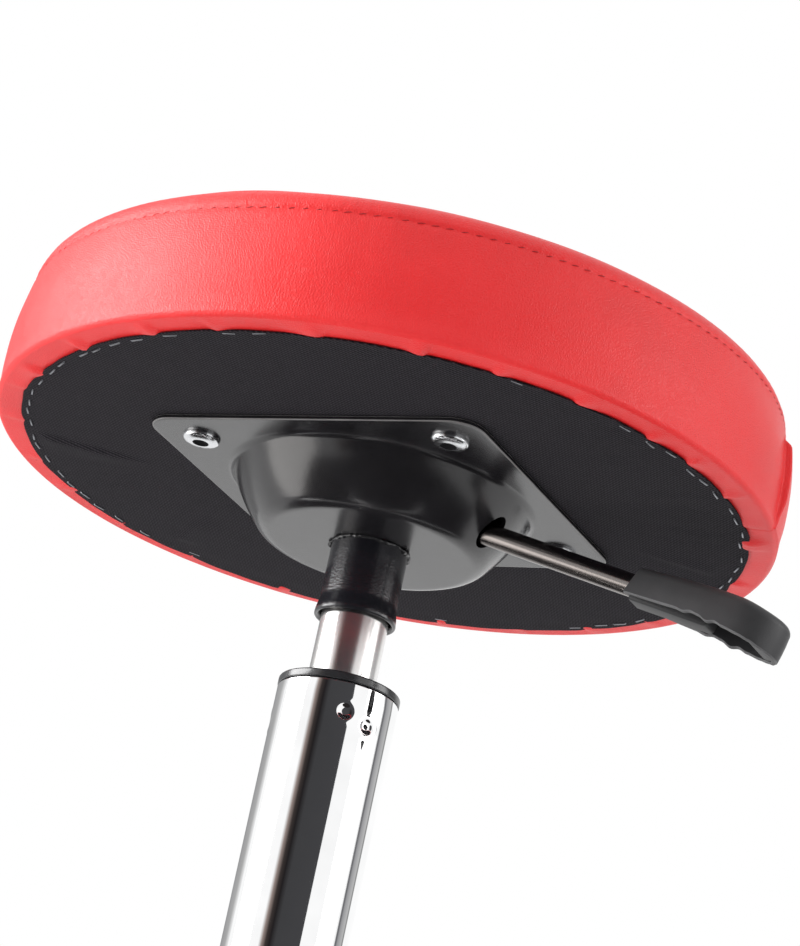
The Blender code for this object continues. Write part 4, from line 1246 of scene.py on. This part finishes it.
WHEEL = wheel_mesh()
HOUSING = housing_mesh()
for k, angle in enumerate(LEG_ANGLES, 1):
    foot = Vector(polar(LEG_REACH, angle))
    hood = placed(HOUSING, Matrix.Translation(foot), f"hood_{k}")
    piece(f"caster_hood_{k}", hood, BLACK, f"caster_{k}", (f"caster_housing_{k}",))
    for side, sign in (("left", -1), ("right", 1)):
        name = f"wheel_{side}_{k}"
        hub = Vector((sign * (BODY_WIDTH / 2 + WHEEL_GAP), CASTER_TRAIL, AXLE_Z))
        where = Matrix.Translation(foot + hub)
        wheel = placed(WHEEL, where @ Matrix.Rotation(radians(90 * sign), 4, "Y"), name)
        piece(name, wheel, RUBBER, f"wheels_{k}", (f"caster_wheel_{side}_{k}",))


# The CAD's own solids that stay: each takes a finish by its name, or else that of its slot

NAME_FINISH = {"lever_bracket": ENAMEL, "piston": BRASS}
SLOT_FINISH = {
    "leatherette": RED, "foam": FOAM, "plywood": PLYWOOD, "dust_fabric": FABRIC, "black_enamel": ENAMEL,
    "zinc": ZINC, "bare_steel": STEEL, "chrome": CHROME, "black_plastic": BLACK,
    "rubber": RUBBER, "brass": BRASS,
}

for name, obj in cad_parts.items():
    for holder in obj.material_slots:
        slot = holder.name.split(".")[0]
        holder.material = NAME_FINISH.get(name) or SLOT_FINISH[slot]


# Studio: white surround, shaded cards for the reflections, four soft lamps and a pale floor

AMBIENT = 0.69
FLOOR_RADIUS = 0.55


def make_world():
    """White to the camera and in reflections, and a plain lower level as light."""
    world = bpy.data.worlds.new("studio")
    bpy.context.scene.world = world
    w = Tree(world)
    w.tree.nodes.clear()
    rays = w.add("ShaderNodeLightPath").outputs
    mirrored = w.math("MAXIMUM", rays["Is Glossy Ray"], rays["Is Transmission Ray"])
    seen = w.math("MAXIMUM", rays["Is Camera Ray"], mirrored)
    light, white = (
        w.add("ShaderNodeBackground", {"Color": (1, 1, 1, 1), "Strength": strength}).outputs[0]
        for strength in (AMBIENT, 1.0)
    )
    mix = w.add("ShaderNodeMixShader", {0: seen, 1: light, 2: white})
    w.add("ShaderNodeOutputWorld", {"Surface": mix.outputs[0]})


def aim(obj, height, azimuth, elevation, distance):
    """Sets an object off from a point on the column's axis, facing it. Degrees count from the camera."""
    toward = heading(TO_CAMERA + radians(azimuth), radians(elevation))
    turn = toward.to_track_quat("Z", "Y").to_matrix().to_4x4()
    obj.matrix_world = Matrix.Translation(UP * height + toward * distance) @ turn


def make_card(name, azimuth, elevation, distance, width, height, stops):
    """A card that glows with the shades of its stops, seen only in reflections: painted reflections for the
    shiny parts, and no light on anything else.
    """
    mesh = bpy.data.meshes.new(name)
    corners = ((-1, -1), (1, -1), (1, 1), (-1, 1))
    mesh.from_pydata([(x * width / 2, y * height / 2, 0) for x, y in corners], [], [(0, 1, 2, 3)])
    card = loose(name, mesh)
    aim(card, SEAT_Z - 0.06, azimuth, elevation, distance)
    card.visible_camera = card.visible_diffuse = card.visible_shadow = False
    look = Nodes(name)
    across = look.add("ShaderNodeSeparateXYZ", {0: look.place}).outputs["X"]
    shade = look.ramp(look.span(across, 0, 1, -width / 2, width / 2), stops)
    look.set(Base_Color=(0, 0, 0, 1), Roughness=1.0, Specular_IOR_Level=0.0)
    look.set(Emission_Color=shade, Emission_Strength=1.0)
    mesh.materials.append(look.material)
    return card


def make_lamp(name, azimuth, elevation, distance, size, power, colour=(1, 1, 1)):
    data = bpy.data.lights.new(name, "AREA")
    data.shape = "DISK"
    data.size = size
    data.energy = power
    data.color = colour
    lamp = loose(name, data)
    aim(lamp, SEAT_Z, azimuth, elevation, distance)
    return lamp


def make_floor():
    """A pale round floor under the casters, kept just below the photograph's frame."""
    top, edge, bottom = -0.0001, 0.004, -0.012
    profile = [(0.0, top), (0.25, top), (FLOOR_RADIUS - edge, top)]
    profile += [(FLOOR_RADIUS, -edge), (FLOOR_RADIUS, bottom), (0.0, bottom)]
    floor = loose("floor", lathe("floor", profile, 160))
    look = Nodes("pale_floor")
    stops = [(0.0, (0.80, 0.80, 0.80)), (1.0, (0.84, 0.84, 0.84))]
    look.set(Base_Color=look.ramp(look.noise(6, 3), stops), Roughness=0.7)
    floor.data.materials.append(look.material)
    floor.visible_shadow = False
    floor.visible_glossy = False


make_world()
make_floor()
DARK_STOPS = [
    (0.0, (0.95, 0.95, 0.95)), (0.10, (0.30, 0.24, 0.22)), (0.20, (0.045, 0.036, 0.034)),
    (0.30, (0.016, 0.014, 0.015)), (0.42, (0.050, 0.050, 0.053)), (1.0, (0.056, 0.056, 0.060)),
]
SIDE_STOPS = [
    (0.0, (0.55, 0.55, 0.55)), (0.10, (0.10, 0.10, 0.11)), (0.30, (0.34, 0.34, 0.35)),
    (0.75, (0.50, 0.50, 0.50)), (0.90, (0.18, 0.18, 0.18)), (1.0, (0.70, 0.70, 0.70)),
]
REAR_STOPS = [(0.0, (0.26, 0.26, 0.27)), (0.75, (0.42, 0.42, 0.42)), (1.0, (0.85, 0.85, 0.85))]
LOW_STOPS = [(0.0, (0.020, 0.018, 0.018)), (1.0, (0.020, 0.018, 0.018))]
make_card("dark_flag", -10.6, 2, 1.6, 2.446, 2.6, DARK_STOPS)
make_card("side_flag", 113, 20, 1.7, 0.85, 1.6, SIDE_STOPS)
make_card("rear_flag", -151, 20, 1.7, 1.88, 1.6, REAR_STOPS)
# The dark card under the floor shows in the shiny parts that face down
low_card = make_card("low_flag", 0, -90, SEAT_Z - 0.04, 0.98, 0.86, LOW_STOPS)
low_card.location += Vector((0.111, -0.102, 0))
make_lamp("key", -88, 20, 1.8, 1.5, 44)
make_lamp("low_left", -85, -25, 1.7, 1.3, 10, (1.0, 0.97, 0.94))
make_lamp("fill", 75, 15, 1.8, 1.2, 9)
make_lamp("under", -20, -48, 1.9, 1.0, 4).visible_glossy = False

bpy.context.scene.view_settings.view_transform = "Standard"

bpy.context.view_layer.update()
